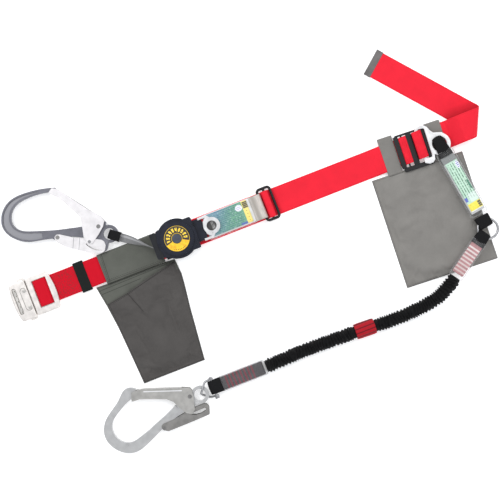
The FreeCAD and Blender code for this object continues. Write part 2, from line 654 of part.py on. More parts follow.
def make_absorber_a():
    cover = soft_box(-61.6, 33.0, 42.2, 91.8, 4.2, 24.2, 4)
    cover = round_level(cover, 2.5, 24.2)
    cover = cover.cut(box(-60.4, 31.8, 43.4, 90.6, 5.4, 23.0))
    cover = cover.cut(box(30, 34, 43.4, 90.2, 6.6, 20.0))
    save("absorber_a_cover", cover)
    pack = soft_box(-59.6, 26, 44.6, 89.4, 6.0, 22.2, 3)
    save("absorber_a_pack", pack)
    z, x = GLIDE_Z, GLIDE_X0
    outer = GLIDE_EYE_R + LOOP_T
    loop = Part.makeCylinder(outer, 46, V(x, 43.6, z), V(0, 1, 0))
    wedge_points = [V(26.6, 43.6, z), V(x, 43.6, z - outer), V(x, 43.6, z + outer),
                    V(44, 43.6, 15.5), V(38, 43.6, 19.0), V(26.6, 43.6, 19.0)]
    wedge = Part.Face(Part.makePolygon(wedge_points + [wedge_points[0]]))
    wedge = wedge.extrude(V(0, 46, 0))
    eye = Part.makeCylinder(GLIDE_EYE_R, 60, V(x, 38, z), V(0, 1, 0))
    save("absorber_a_end_loop", loop.fuse(wedge).removeSplitter().cut(eye))


# ---------------------------------------------------------------- lanyard A

def make_strap_a():
    eye, guide, heading, foot, wound_r = strap_line()
    side = V(-heading.y, heading.x, 0)
    tail = foot
    head = eye + heading * SLEEVE_A_END
    length = (guide - head).Length

    def section(place, lean, width):
        across = side * math.cos(lean) + UP * math.sin(lean)
        thick = UP * math.cos(lean) - side * math.sin(lean)
        corners = [place + across * (a * width / 2) + thick * (b * STRAP_A_T / 2)
                   for a, b in ((-1, -1), (1, -1), (1, 1), (-1, 1))]
        return Part.makePolygon(corners + [corners[0]])

    steps = 6
    sections = []
    for i in range(steps + 1):
        t = i / steps
        ease = t * t * (3 - 2 * t)
        place = head + heading * (length * t) + UP * (HOOK_Z + (STRAP_A_Z - HOOK_Z) * ease)
        sections.append(section(place, math.pi / 2 * ease, STRAP_A_W))
    twisted = Part.makeLoft(sections, True, False)
    turn = math.degrees(math.atan2(heading.y, heading.x))
    straight = placed(box(0, (tail - guide).Length, -STRAP_A_T / 2, STRAP_A_T / 2,
                          STRAP_A_Z - STRAP_A_W / 2, STRAP_A_Z + STRAP_A_W / 2),
                      guide.x, guide.y, turn)
    save("strap_a", twisted.fuse(straight).removeSplitter())

    loop = webbing_loop(-1.5, SLEEVE_A_END, HOOK_Z - 8.2, HOOK_Z + 8.2, SLEEVE_A_W, 2.2)
    bite = disc(0, 0, EYE_HOLE - GAP, -1, 30)
    inner = loop.common(box(-20, 3.4, -20, 20, -1, 30)).common(bite)
    outer = loop.common(box(3.4, 30, -20, 20, -1, 30))
    sleeve = inner.fuse(outer).removeSplitter()
    save("strap_a_sleeve", placed(sleeve, eye.x, eye.y, turn))


# ---------------------------------------------------------------- hooks

HOOK_A = {
    "eye": HOOK_A_EYE, "turn": HOOK_A_TURN,
    "bar": [(-104, 72.2, 7.4), (-117, 70.0, 7.8), (-135.5, 65.2, 8.4), (-158, 56, 10.4),
            (-181, 39, 14.0), (-189, 17.3, 17.0), (-184, -3, 18.6), (-167, -14.8, 18.0),
            (-144.5, -17, 19.4), (-121, -12.8, 16.4), (-104, -9.8, 15.0),
            (-78, -4.8, 14.6), (-50, -1.0, 19.5)],
    "gate": [(-110.5, 74.0), (-100.5, 73.4), (-46, 43.8), (-17.5, 30.2), (-10.4, 22.8),
             (-11.5, 12.5), (-18.5, -2.7), (-28.5, -20.6), (-36, -20.8), (-44.8, -11),
             (-50, 12), (-54, 26), (-73, 40), (-95, 57.5), (-115.8, 65.0)],
    "lever": [(-98, -14), (-95, -9.3), (-89, -8.5), (-64, -11.8), (-26, -11.4),
              (-13, -11.8), (-7.5, -14.5), (-4.2, -21), (-4.6, -30.5), (-8.5, -34.6),
              (-14, -36.8), (-34, -36.2), (-64, -32.1), (-80, -28.5), (-92, -23.6),
              (-97, -19)],
    "gate_pin": (-20.0, 11.8), "lever_pin": (-92.5, -14.2), "lock_pin": (-38, -7.0),
    "gate_spine": [(-99, 72.4), (-46, 43.6), (-27, 34.5)],
    "lever_spine": [(-92, -23.6), (-80, -28.5), (-64, -32.1), (-34, -36.2), (-20, -36.6)],
    "stop": [(-114.4, 63.9), (-106, 60.9)],
    "window": [(-39.6, -20.6), (-35, -23.4), (-30, -26.0), (-25, -28.0), (-18, -29.6),
               (-10, -30.4), (-9.6, -31.9), (-18.5, -31.7), (-26, -30.2), (-31.5, -28.2),
               (-37, -25.0), (-40.6, -22)],
    "lugs": [[(-110, -17.0), (-101.5, -17.4), (-95.5, -20.4), (-93, -12)],
             [(-13, 13), (-7.4, 13), (-7.6, 21.6), (-10.2, 22.2)],
             [(-15, -9), (-2, -10.5), (0.2, -18), (-0.4, -26), (-3, -31), (-6.5, -33),
              (-10, -29), (-12, -20)]],
    "stud": (-34.0, -17.2), "recess": (2, 10),
}
HOOK_B = {
    "eye": HOOK_B_EYE, "turn": HOOK_B_TURN,
    "bar": [(-103, 56, 10.0), (-120.5, 56, 20.5), (-133, 49, 15.0), (-147, 41.5, 12.4),
            (-171.5, 25, 13.6), (-180.2, 2, 17.2), (-175.5, -15, 17.8),
            (-165, -27.5, 18.6), (-147, -34.7, 19.6), (-129, -32, 18.6),
            (-111, -26.8, 16.6), (-94, -21, 15.4), (-75, -15.3, 15.0), (-46, -7, 19.0)],
    "gate": [(-111, 57.5), (-100, 57), (-88, 54), (-24, 26.6), (-11, 19.6), (-9.8, 12),
             (-11.5, 2), (-19.5, -20), (-27, -25.5), (-36, -19), (-43, -5), (-49, 10),
             (-58, 19), (-82, 31), (-103, 40.2), (-117, 42.4)],
    "lever": [(-88.5, -25.5), (-87, -21), (-83, -18.8), (-60, -19.6), (-40, -17.6),
              (-16, -16.6), (0, -17.4), (4.6, -20.4), (6, -26), (1.2, -39), (-30, -38),
              (-79.5, -35.2), (-86, -30)],
    "gate_pin": (-17.4, 5.6), "lever_pin": (-83.5, -26.0), "lock_pin": (-34.0, -6.0),
    "gate_spine": [(-98, 56.2), (-88, 53.8), (-25, 26.8)],
    "lever_spine": [(-79.5, -35.2), (-30, -38), (-3, -38.9)],
    "stop": [(-116.4, 41.8), (-105, 40.0)],
    "window": [(-29.5, -25.2), (-24, -23.6), (-2, -24.6), (0, -27.2), (-3, -29.8),
               (-12, -30.8), (-21, -29.4)],
    "lugs": [], "stud": None, "recess": None,
}


def wall_along(points, thickness, z0, z1, inward):
    """A thin wall just inside a chain of outline points."""
    outer = [V(x, y, 0) for x, y in points]
    inner = []
    for i, point in enumerate(outer):
        ahead = outer[min(i + 1, len(outer) - 1)] - outer[max(i - 1, 0)]
        normal = UP.cross(ahead).normalize() * (thickness * inward)
        inner.append(point + normal)
    loop = outer + inner[::-1]
    return prism([(p.x, p.y) for p in loop], z0, z1)


def cheeks(outline, inner_face, radius):
    """Two side plates, one each side of the mid plane."""
    plates = []
    for z0 in (inner_face, -inner_face - CHEEK_T):
        plate = prism(outline, z0, z0 + CHEEK_T)
        plates.append(round_upright(plate, radius))
    return plates


def hook_body(spec):
    """The hook's bar, the neck behind it and the eye."""
    half = HOOK_T / 2
    bar = spec["bar"]
    neck_x, neck_y, neck_w = bar[-1]
    gx, gy = spec["gate_pin"]
    lx, ly = spec["lever_pin"]
    body = spline_band(bar, -half, half)
    parts = [disc(gx, gy, PIN_BOSS_GATE, -half, half),
             disc(lx, ly, PIN_BOSS_LEVER, -half, half)]
    parts.append(prism([(neck_x - 1, neck_y + neck_w / 2 - 0.4), (gx - 2, gy + 8.2),
                        (gx + 8, gy + 4), (-3, 13), (-3, -13), (gx, -13.4),
                        (neck_x - 1, neck_y - neck_w / 2 + 0.4)], -half, half))
    for lug in spec["lugs"]:
        parts.append(prism(lug, -half, half))
    body = body.fuse(parts).removeSplitter()
    body = body.cut(disc(0, 0, EYE_R - 1.0, -half - 1, half + 1))
    body = body.fuse(disc(0, 0, EYE_R, -EYE_T / 2, EYE_T / 2)).removeSplitter()
    body = body.cut(disc(0, 0, EYE_HOLE, -half - 1, half + 1))
    if spec["recess"]:
        first, last = spec["recess"]
        track = [(x, y, w - 6.4) for x, y, w in bar[first:last]]
        for z0, z1 in ((half - 2.2, half + 1), (-half - 1, -half + 2.2)):
            body = body.cut(spline_band(track, z0, z1))
    for x, y in (spec["gate_pin"], spec["lever_pin"], spec["lock_pin"]):
        body = body.cut(disc(x, y, HOOK_PIN_R, -half - 1, half + 1))
    return body.cut(disc(gx, gy, SPRING_ROOM_R, half - SPRING_ROOM_DEPTH, half + 1))


def hook_gate(spec):
    reach = GATE_CHEEK + CHEEK_T
    gx, gy = spec["gate_pin"]
    plates = cheeks(spec["gate"], GATE_CHEEK, 1.6)
    spine = wall_along(spec["gate_spine"], 1.5, -reach, reach, -1)
    bridge = wall_along(spec["stop"], 1.6, -reach, reach, 1)
    parts = [plates[1], spine, bridge]
    if spec["stud"]:
        x, y = spec["stud"]
        parts.append(disc(x, y, STUD_R, reach - 0.2, reach + RIVET_PROUD))
        parts.append(disc(x, y, STUD_R, -reach - RIVET_PROUD, -reach + 0.2))
    shape = plates[0].fuse(parts).removeSplitter()
    return shape.cut(disc(gx, gy, HOOK_PIN_R + PIN_PLAY, -20, 20))


def hook_lever(spec):
    reach = LEVER_CHEEK + CHEEK_T
    lx, ly = spec["lever_pin"]
    plates = cheeks(spec["lever"], LEVER_CHEEK, 1.6)
    spine = wall_along(spec["lever_spine"], 1.5, -reach, reach, 1)
    shape = plates[0].fuse([plates[1], spine]).removeSplitter()
    shape = shape.cut(prism(spec["window"], -20, 20))
    return shape.cut(disc(lx, ly, HOOK_PIN_R + PIN_PLAY, -20, 20))


def hook_pins(spec):
    """Two headed rivets that the gate and the lever turn on, and the lock's cross pin."""
    rivets = []
    for (x, y), reach in ((spec["gate_pin"], GATE_CHEEK + CHEEK_T),
                          (spec["lever_pin"], LEVER_CHEEK + CHEEK_T)):
        shank = disc(x, y, HOOK_PIN_R, -reach, reach)
        heads = [disc(x, y, RIVET_HEAD_R, reach, reach + RIVET_PROUD),
                 disc(x, y, RIVET_HEAD_R, -reach - RIVET_PROUD, -reach)]
        rivets.append(shank.fuse(heads).removeSplitter())
    x, y = spec["lock_pin"]
    rivets.append(disc(x, y, HOOK_PIN_R, -HOOK_T / 2, HOOK_T / 2))
    return Part.Compound(rivets)


def make_hook(name, spec):
    gx, gy = spec["gate_pin"]
    top = HOOK_T / 2
    spring = spiral_strip(gx, gy, 3.7, 0.7, 6, 0.4, top - 4.0, top - 0.6)
    pieces = (("_body", hook_body(spec)), ("_gate", hook_gate(spec)),
              ("_lever", hook_lever(spec)), ("_pins", hook_pins(spec)),
              ("_gate_spring", spring))
    x, y = spec["eye"]
    for suffix, shape in pieces:
        save(name + suffix, placed(shape, x, y, spec["turn"], HOOK_Z))


def make_hooks():
    make_hook("hook_a", HOOK_A)
    make_hook("hook_b", HOOK_B)


# ---------------------------------------------------------------- absorber B and lanyard B

def make_absorber_b():
    top = spot(14.6, 0, DRING_EYE, CASE_B_ANGLE)
    width = CASE_B_WIDTH
    z0, z1 = CASE_B_Z0, CASE_B_Z1
    cover = soft_box(0, CASE_B_LENGTH, -width / 2, width / 2, z0, z1, 4)
    cover = round_level(cover, 3.0, z1)
    cover = cover.cut(box(1.2, CASE_B_LENGTH - 1.2, -width / 2 + 1.2, width / 2 - 1.2,
                          z0 + 1.0, z1 - 1.0))
    mouth = box(-1, 3, -12.2, 12.2, z0 + 1.0, 18.0)
    far_mouth = box(CASE_B_LENGTH - 3, CASE_B_LENGTH + 1, -13.6, 13.6, z0 + 1.0, 19.0)
    ring_room = disc(-14.6, 0, DRING_R + 0.7, z0 - 1, 18.4)
    cover = cover.cut(mouth).cut(far_mouth).cut(ring_room)
    save("absorber_b_cover", placed(cover, top[0], top[1], CASE_B_ANGLE))

    pack = soft_box(8, CASE_B_LENGTH - 8, -14.4, 14.4, z0 + 1.4, z1 - 1.4, 2)
    upper_eye = box(-20, 6.2, -20, 20, 0, 30)
    upper = webbing_loop(-11.5, 14.6 + 9, 9.6, 17.4, 22.0)
    bite = disc(0, 0, DRING_HOLE - 0.6, 0, 40)
    inside = upper.common(upper_eye).common(bite)
    outside = upper.common(box(6.2, 60, -20, 20, 0, 40))
    upper = inside.fuse(outside).removeSplitter()
    upper.translate(V(-14.6, 0, 0))
    ring_at = V(RING_X - top[0], RING_Y - top[1], 0)
    a = math.radians(-CASE_B_ANGLE)
    ring_x = ring_at.x * math.cos(a) - ring_at.y * math.sin(a)
    ring_y = ring_at.x * math.sin(a) + ring_at.y * math.cos(a)
    lower = webbing_loop(0, ring_x - 7.2 - CASE_B_LENGTH + 9, RING_Z - 4.4, RING_Z + 4.4, 25.0)
    lower.rotate(V(0, 0, 0), UP, 180)
    lower.translate(V(ring_x - 7.2, ring_y, 0))
    webbing = pack.fuse([upper, lower]).removeSplitter()
    save("absorber_b_pack", placed(webbing, top[0], top[1], CASE_B_ANGLE))

    hoop = Part.makeTorus(RING_R, RING_WIRE / 2, V(RING_X, RING_Y, RING_Z), UP)
    save("connector_ring", hoop)


def make_lanyard_b():
    origin = (RING_X, RING_Y)
    turn = COVER_B_ANGLE
    z0, z1 = RING_Z - COVER_B_HALF_Z, RING_Z + COVER_B_HALF_Z
    cover = soft_box(COVER_B_START, COVER_B_END, -13.8, 13.8, z0, z1, 2)
    cover = round_level(cover, 1.6, z1)
    cover = cover.cut(box(COVER_B_START - 1, COVER_B_END + 1, -12.6, 12.6, z0 + 1, z1 - 1))
    save("lanyard_b_upper_cover", placed(cover, origin[0], origin[1], turn))

    loop = webbing_loop(8.4, COVER_B_START + 6, RING_Z - 4.5, RING_Z + 4.5, 23.0)
    sewn = box(COVER_B_START + 6, COVER_B_END, -12.0, 12.0, RING_Z - 4.2, RING_Z + 4.2)
    webbing = loop.fuse(sewn).removeSplitter()
    save("lanyard_b_upper_webbing", placed(webbing, origin[0], origin[1], turn))

    points = [V(x, y, z) for x, y, z in CORD_ROUTE]
    radii = []
    for i in range(1, len(points) - 1):
        before, after = points[i] - points[i - 1], points[i + 1] - points[i]
        shorter = min(before.Length, after.Length)
        turn_here = before.getAngle(after)
        radii.append(0.45 * shorter / math.tan(turn_here / 2))
    cord, path = rod(points, radii, CORD_D)
    save("lanyard_b_cord", cord)
    print("bungee length", round(path.Length, 1))

    start = V(161.5, -210.6, CORD_D / 2)
    along = V(124.5, -209.1, CORD_D / 2) - start
    inner = CORD_D / 2 + 0.9
    tag = Part.makeCylinder(inner + 1.0, along.Length, start, along)
    tag = tag.cut(Part.makeCylinder(inner, along.Length, start, along))
    tag = tag.common(box(100, 180, -240, -180, 4.0, 40.0))
    save("lanyard_b_tag", tag)

    z0, z1 = LOWER_Z0, LOWER_Z1
    cover = soft_box(-139.5, -50.3, -222.6, -194.0, z0, z1, 2)
    cover = round_level(cover, 1.6, z1)
    cover = cover.cut(box(-141, -49, -221.4, -195.2, z0 + 1, z1 - 1))
    save("lanyard_b_lower_cover", cover)
    loop = webbing_loop(-160.6, -140.0, 2.0, 18.0, 25.0)
    loop.translate(V(0, LOWER_Y, 0))
    sewn = box(-140.5, -50.0, LOWER_Y - 12.5, LOWER_Y + 12.5, 4.6, 15.4)
    save("lanyard_b_lower_webbing", loop.fuse(sewn).removeSplitter())


def make_shackle():
    eye_x, eye_y = HOOK_B_EYE
    bow_x = eye_x + 3.0
    points = [V(SHACKLE_PIN_X, -192.6, 10.0), V(-164.5, -193.6, 15.2),
              V(bow_x, eye_y + 1.6, 15.9), V(bow_x, eye_y - 1.6, 2.5),
              V(-164.5, -224.2, 2.7), V(SHACKLE_PIN_X, -225.4, 9.0)]
    body, path = rod(points, [5.0, 3.6, 3.6, 5.0], 4.0)
    bosses = []
    for y0, y1 in ((-194.6, -190.6), (-227.4, -223.4)):
        boss = Part.makeCylinder(4.4, y1 - y0, V(SHACKLE_PIN_X, y0, 10.0), V(0, 1, 0))
        bosses.append(boss)
    body = body.fuse(bosses).removeSplitter()
    hole = Part.makeCylinder(SHACKLE_PIN_R + PIN_PLAY, 50, V(SHACKLE_PIN_X, -235, 10.0), V(0, 1, 0))
    body = body.cut(hole)
    save("shackle", body)
    pin = Part.makeCylinder(SHACKLE_PIN_R, 40.0, V(SHACKLE_PIN_X, -229.0, 10.0), V(0, 1, 0))
    head = Part.makeCylinder(4.2, 2.4, V(SHACKLE_PIN_X, -230.4, 10.0), V(0, 1, 0))
    save("shackle_pin", pin.fuse(head).removeSplitter())


make_belt()
make_buckle()
make_tri_glide()
make_left_pouch()
make_right_pouch()
make_retainer()
make_d_ring()
make_reel()
make_absorber_a()
make_strap_a()
make_hooks()
make_absorber_b()
make_lanyard_b()
make_shackle()

whole = FreeCAD.BoundBox()
for shape in SAVED.values():
    whole.add(shape.BoundBox)
print("nodes", len(SAVED), "box", [round(v, 2) for v in (
    whole.XMin, whole.YMin, whole.ZMin, whole.XMax, whole.YMax, whole.ZMax)])
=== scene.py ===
import json
import math
import bmesh
import bpy
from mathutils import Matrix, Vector, geometry, noise


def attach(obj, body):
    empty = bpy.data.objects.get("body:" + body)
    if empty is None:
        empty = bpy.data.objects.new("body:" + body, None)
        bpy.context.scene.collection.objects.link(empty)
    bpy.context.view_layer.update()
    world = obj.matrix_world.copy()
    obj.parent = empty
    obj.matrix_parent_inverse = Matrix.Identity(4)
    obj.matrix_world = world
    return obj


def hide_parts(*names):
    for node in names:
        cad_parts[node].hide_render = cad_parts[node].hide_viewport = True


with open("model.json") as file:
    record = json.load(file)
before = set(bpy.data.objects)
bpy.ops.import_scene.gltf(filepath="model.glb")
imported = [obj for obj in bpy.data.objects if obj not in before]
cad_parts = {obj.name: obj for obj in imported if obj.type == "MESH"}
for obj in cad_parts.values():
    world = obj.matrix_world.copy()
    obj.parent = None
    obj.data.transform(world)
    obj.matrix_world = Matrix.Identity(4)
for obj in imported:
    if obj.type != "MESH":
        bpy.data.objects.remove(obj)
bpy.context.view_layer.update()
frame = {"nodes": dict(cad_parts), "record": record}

# Looks of a fall-arrest belt with two shock absorbing lanyards, laid flat.
# Places are layout millimetres: X along the belt, Y across it and Z up from the floor.
# SHIFT moves the layout's middle to the record's frame, as the CAD source does.
SHIFT = Vector((-23.12, 4.94, 0.0))
MM = 0.001
UP = Vector((0, 0, 1))
ALONG_X = Vector((1, 0, 0))
ALONG_Y = Vector((0, 1, 0))

BELT_Y, BELT_HALF, BELT_T = 66.0, 25.0, 2.0
FOLD_ANGLE, FOLD_RADIUS, FOLD_X, FREE_END = math.radians(65), 11.0, 457.5, 207.0
Z_LYING = 1.6
REEL = -115.0, 67.0
HOOK_A_EYE, HOOK_A_TURN = (-228.1, 120.5), math.radians(-26)
HOOK_B_EYE, HOOK_B_TURN = (-180.5, -212.5), math.radians(4)
GUIDE = -160.0, 65.8
PANEL_CORNER, PANEL_TURN = (253.0, 37.0), math.radians(-2.95)
DRING_EYE = 391.0, 55.0
CASE_B_TURN = math.radians(-81.6)
RING = 417.0, -121.0
COVER_B_TURN = math.radians(214.6)
LOWER_Y = -208.2
CORD_ROUTE = [
    (329.31, -181.49, 14.0),
    (305.47, -197.94, 14.0),
    (274.0, -208.5, 12.2),
    (236.0, -212.5, 11.0),
    (194.0, -213.2, 11.0),
    (150.0, -210.0, 11.0),
    (104.0, -208.3, 11.0),
    (56.0, -206.4, 11.0),
    (8.0, -206.6, 11.0),
    (-24.0, -208.2, 11.0),
    (-50.0, -208.2, 11.0),
]

BODY_OF = {}
for body_name, members in frame["record"]["behaviour"]["bodies"].items():
    for member in members:
        BODY_OF[member] = body_name


def at(x, y, z=0.0):
    """A layout place in the record's frame, in metres."""
    return (Vector((x, y, z)) + SHIFT) * MM


def turned(x, y, origin, turn):
    """Layout place of a point given along and across something that lies turned."""
    c, s = math.cos(turn), math.sin(turn)
    return origin[0] + x * c - y * s, origin[1] + x * s + y * c


# ---------------------------------------------------------------- camera, light and floor

CAMERA_TURN = math.radians(-21.3)
CAMERA_HEIGHT = 2.16
LENS, SENSOR = 85, 36
FLOOR_REACH = 6.0
FLOOR_GLOW = 0.35
SKY_STRENGTH = 0.72


def make_stage():
    data = bpy.data.cameras.new("camera")
    data.lens = LENS
    data.sensor_width = SENSOR
    data.clip_end = 20
    camera = bpy.data.objects.new("camera", data)
    camera.location = at(0, 0, 0) + Vector((0, 0, CAMERA_HEIGHT))
    camera.rotation_euler = 0, 0, CAMERA_TURN
    bpy.context.scene.collection.objects.link(camera)
    bpy.context.scene.camera = camera

    world = bpy.data.worlds.new("world")
    world.use_nodes = True
    world.node_tree.nodes["Background"].inputs["Color"].default_value = 0.95, 0.97, 1, 1
    world.node_tree.nodes["Background"].inputs["Strength"].default_value = SKY_STRENGTH
    bpy.context.scene.world = world

    lamps = (
        ("key", (-0.9, 1.3, 1.7), 1.4, 26),
        ("fill", (1.3, 0.5, 1.5), 1.6, 13),
        ("low", (0.2, -1.6, 1.3), 1.6, 9),
    )
    for name, place, size, power in lamps:
        light = bpy.data.lights.new(name, "AREA")
        light.size = size
        light.energy = power
        lamp = bpy.data.objects.new(name, light)
        lamp.location = place
        lamp.rotation_euler = (-Vector(place)).to_track_quat("-Z", "Y").to_euler()
        bpy.context.scene.collection.objects.link(lamp)

    mesh = bpy.data.meshes.new("floor")
    corners = [(x * FLOOR_REACH, y * FLOOR_REACH, 0) for x, y in
               ((-1, -1), (1, -1), (1, 1), (-1, 1))]
    mesh.from_pydata(corners, [], [(0, 1, 2, 3)])
    floor = bpy.data.objects.new("floor", mesh)
    bpy.context.scene.collection.objects.link(floor)
    paint = Paint("floor_pale", Roughness=0.9)
    paint.shader.inputs["Base Color"].default_value = 0.93, 0.93, 0.935, 1
    paint.shader.inputs["Emission Color"].default_value = 1, 1, 1, 1
    paint.shader.inputs["Emission Strength"].default_value = FLOOR_GLOW
    mesh.materials.append(paint.material)
    bpy.context.scene.view_settings.view_transform = "Standard"


# ---------------------------------------------------------------- materials

class Value:
    """A number that varies over a surface."""

    def __init__(self, paint, socket):
        self.paint = paint
        self.socket = socket

    def __add__(self, other):
        return self.paint.math("ADD", self, other)

    def __sub__(self, other):
        return self.paint.math("SUBTRACT", self, other)

    def __mul__(self, other):
        return self.paint.math("MULTIPLY", self, other)

    def __abs__(self):
        return self.paint.math("ABSOLUTE", self)

    def larger(self, other):
        return self.paint.math("MAXIMUM", self, other)

    def smaller(self, other):
        return self.paint.math("MINIMUM", self, other)

    def root(self):
        return self.paint.math("SQRT", self)

    def wave(self, pitch, phase=0.0):
        """A sine of one turn per pitch."""
        turns = self.paint.math("MULTIPLY_ADD", self, 2 * math.pi / pitch, phase)
        return self.paint.math("SINE", turns)

    def inside(self, low, high, soft=0.3):
        """1 between two values, with soft edges."""
        return self.ramp(low - soft, low + soft) * self.ramp(high + soft, high - soft)

    def ramp(self, start, end, low=0.0, high=1.0):
        made = self.paint.node("MapRange", clamp=True)
        self.paint.join(made.inputs["Value"], self)
        limits = {"From Min": start, "From Max": end, "To Min": low, "To Max": high}
        for key, limit in limits.items():
            made.inputs[key].default_value = limit
        return Value(self.paint, made.outputs[0])


class Paint:
    """A material put together from nodes. Places in it are millimetres."""

    def __init__(self, name, **values):
        self.material = bpy.data.materials.new(name)
        self.material.use_nodes = True
        self.tree = self.material.node_tree
        self.shader = self.tree.nodes["Principled BSDF"]
        for key, value in values.items():
            self.shader.inputs[key.replace("_", " ")].default_value = value

    def node(self, kind, **settings):
        made = self.tree.nodes.new("ShaderNode" + kind)
        for key, value in settings.items():
            setattr(made, key, value)
        return made

    def join(self, socket, value):
        if isinstance(value, Value):
            value = value.socket
        if isinstance(value, bpy.types.NodeSocket):
            self.tree.links.new(value, socket)
        else:
            socket.default_value = value

    def place(self, origin=None, turn=0.0):
        """Object coordinates in millimetres, from a layout point and along a turn."""
        spot = self.node("TexCoord").outputs["Object"]
        if origin is not None:
            moved = self.node("VectorMath", operation="SUBTRACT")
            self.join(moved.inputs[0], spot)
            self.join(moved.inputs[1], at(origin[0], origin[1], 0))
            rolled = self.node("VectorRotate", rotation_type="Z_AXIS")
            self.join(rolled.inputs["Vector"], moved.outputs[0])
            self.join(rolled.inputs["Angle"], -turn)
            spot = rolled.outputs[0]
        return self.scaled(spot, 1000)

    def strip(self):
        """UV coordinates of webbing in millimetres: along it, and across from its middle."""
        return self.scaled(self.node("TexCoord").outputs["UV"], 1000)

    def scaled(self, vector, factor):
        made = self.node("VectorMath", operation="SCALE")
        self.join(made.inputs[0], vector)
        made.inputs["Scale"].default_value = factor
        return made.outputs[0]

    def split(self, vector):
        made = self.node("SeparateXYZ")
        self.join(made.inputs[0], vector)
        return [Value(self, socket) for socket in made.outputs]

    def node_vector(self, x, y):
        """A vector from two values."""
        made = self.node("CombineXYZ")
        self.join(made.inputs[0], x)
        self.join(made.inputs[1], y)
        return made.outputs[0]

    def math(self, operation, *values):
        made = self.node("Math", operation=operation)
        for socket, value in zip(made.inputs, values):
            self.join(socket, value)
        return Value(self, made.outputs[0])

    def noise(self, vector, size, detail=3.0, rough=0.55, stretch=None):
        """Smooth variation whose patches are about size millimetres across."""
        if stretch is not None:
            made = self.node("VectorMath", operation="MULTIPLY")
            self.join(made.inputs[0], vector)
            self.join(made.inputs[1], Vector(stretch))
            vector = made.outputs[0]
        made = self.node("TexNoise")
        self.join(made.inputs["Vector"], vector)
        made.inputs["Scale"].default_value = 1 / size
        made.inputs["Detail"].default_value = detail
        made.inputs["Roughness"].default_value = rough
        return Value(self, made.outputs[0])

    def mix(self, factor, a, b):
        made = self.node("Mix", data_type="RGBA")
        self.join(made.inputs[0], factor)
        for socket, colour in ((made.inputs[6], a), (made.inputs[7], b)):
            if isinstance(colour, tuple):
                colour = (*colour[:3], 1)
            self.join(socket, colour)
        return made.outputs[2]

    def colour(self, value):
        if isinstance(value, tuple):
            value = (*value[:3], 1)
        self.join(self.shader.inputs["Base Color"], value)

    def roughness(self, value):
        self.join(self.shader.inputs["Roughness"], value)

    def ground(self, origin=None, turn=0.0):
        """What place() gives, with its first two parts."""
        spot = self.place(origin, turn)
        return [spot, *self.split(spot)[:2]]

    def woven(self):
        """What strip() gives, with its parts along and across."""
        spot = self.strip()
        return [spot, *self.split(spot)[:2]]

    def bump(self, height, strength, depth=0.4):
        made = self.node("Bump")
        made.inputs["Strength"].default_value = strength
        made.inputs["Distance"].default_value = depth * MM
        self.join(made.inputs["Height"], height)
        self.join(self.shader.inputs["Normal"], made.outputs[0])


def shade(colour, factor):
    return tuple(min(1.0, c * factor) for c in colour[:3])


def webbing_paint(name, colour, rib=1.3, warp=1.7, depth=0.35, dark=0.72):
    """Woven webbing: ribs across it and warp ends along it."""
    paint = Paint(name, Roughness=0.75, Specular_IOR_Level=0.2)
    spot, along, across = paint.woven()
    ribs = along.wave(rib)
    ends = across.wave(warp)
    cross = ribs * ends
    height = cross * 0.6 + ribs * 0.25 + ends * 0.15
    fibre = paint.noise(spot, 0.5, 2.0, stretch=(0.35, 1.0, 1.0))
    patches = paint.noise(spot, 26, 3.0)
    tone = (height * 0.25 + fibre + patches).ramp(0.35, 1.75)
    base = paint.mix(tone, shade(colour, dark), shade(colour, 1.12))
    paint.colour(base)
    paint.roughness(fibre.ramp(0.2, 0.8, 0.62, 0.82))
    paint.bump(height + fibre * 0.8, 0.55, depth)
    return paint.material


def cloth_paint(name, colour, thread=0.9, origin=(0, 0), turn=0.0, seams=None, wear=0.8):
    """Coated canvas: a fine plain weave, faint rub marks and rows of stitching."""
    paint = Paint(name, Roughness=0.8, Specular_IOR_Level=0.2, Sheen_Weight=0.05)
    spot, x, y = paint.ground(origin, turn)
    weft, warp = x.wave(thread), y.wave(thread)
    height = weft * warp
    cloud = paint.noise(spot, 34, 4.0)
    fibre = paint.noise(spot, 0.8, 2.0)
    tone = (height * 0.1 + fibre * 0.45 + cloud * 0.85).ramp(0.35, 0.95)
    base = paint.mix(tone, shade(colour, wear), shade(colour, 1.16))
    relief = height * 0.35 + fibre * 0.5
    if seams is not None:
        mask = seams(x, y)
        base = paint.mix(mask, base, shade(colour, 0.42))
        relief = relief + mask * -1.2
    paint.colour(base)
    paint.bump(relief, 0.5, 0.3)
    return paint.material


def plastic_paint(name, colour, rough=0.42, grain=0.7, depth=0.12):
    """Moulded plastic with a fine spark-eroded grain and softly worn patches."""
    paint = Paint(name, Roughness=rough, Specular_IOR_Level=0.35)
    spot = paint.place()
    fine = paint.noise(spot, grain, 3.0, 0.6)
    cloud = paint.noise(spot, 15, 3.0)
    base = paint.mix(cloud.ramp(0.3, 0.75), shade(colour, 0.8), shade(colour, 1.35))
    paint.colour(base)
    paint.roughness((fine + cloud).ramp(0.7, 1.3, rough - 0.08, rough + 0.1))
    paint.bump(fine, 0.35, depth)
    return paint.material


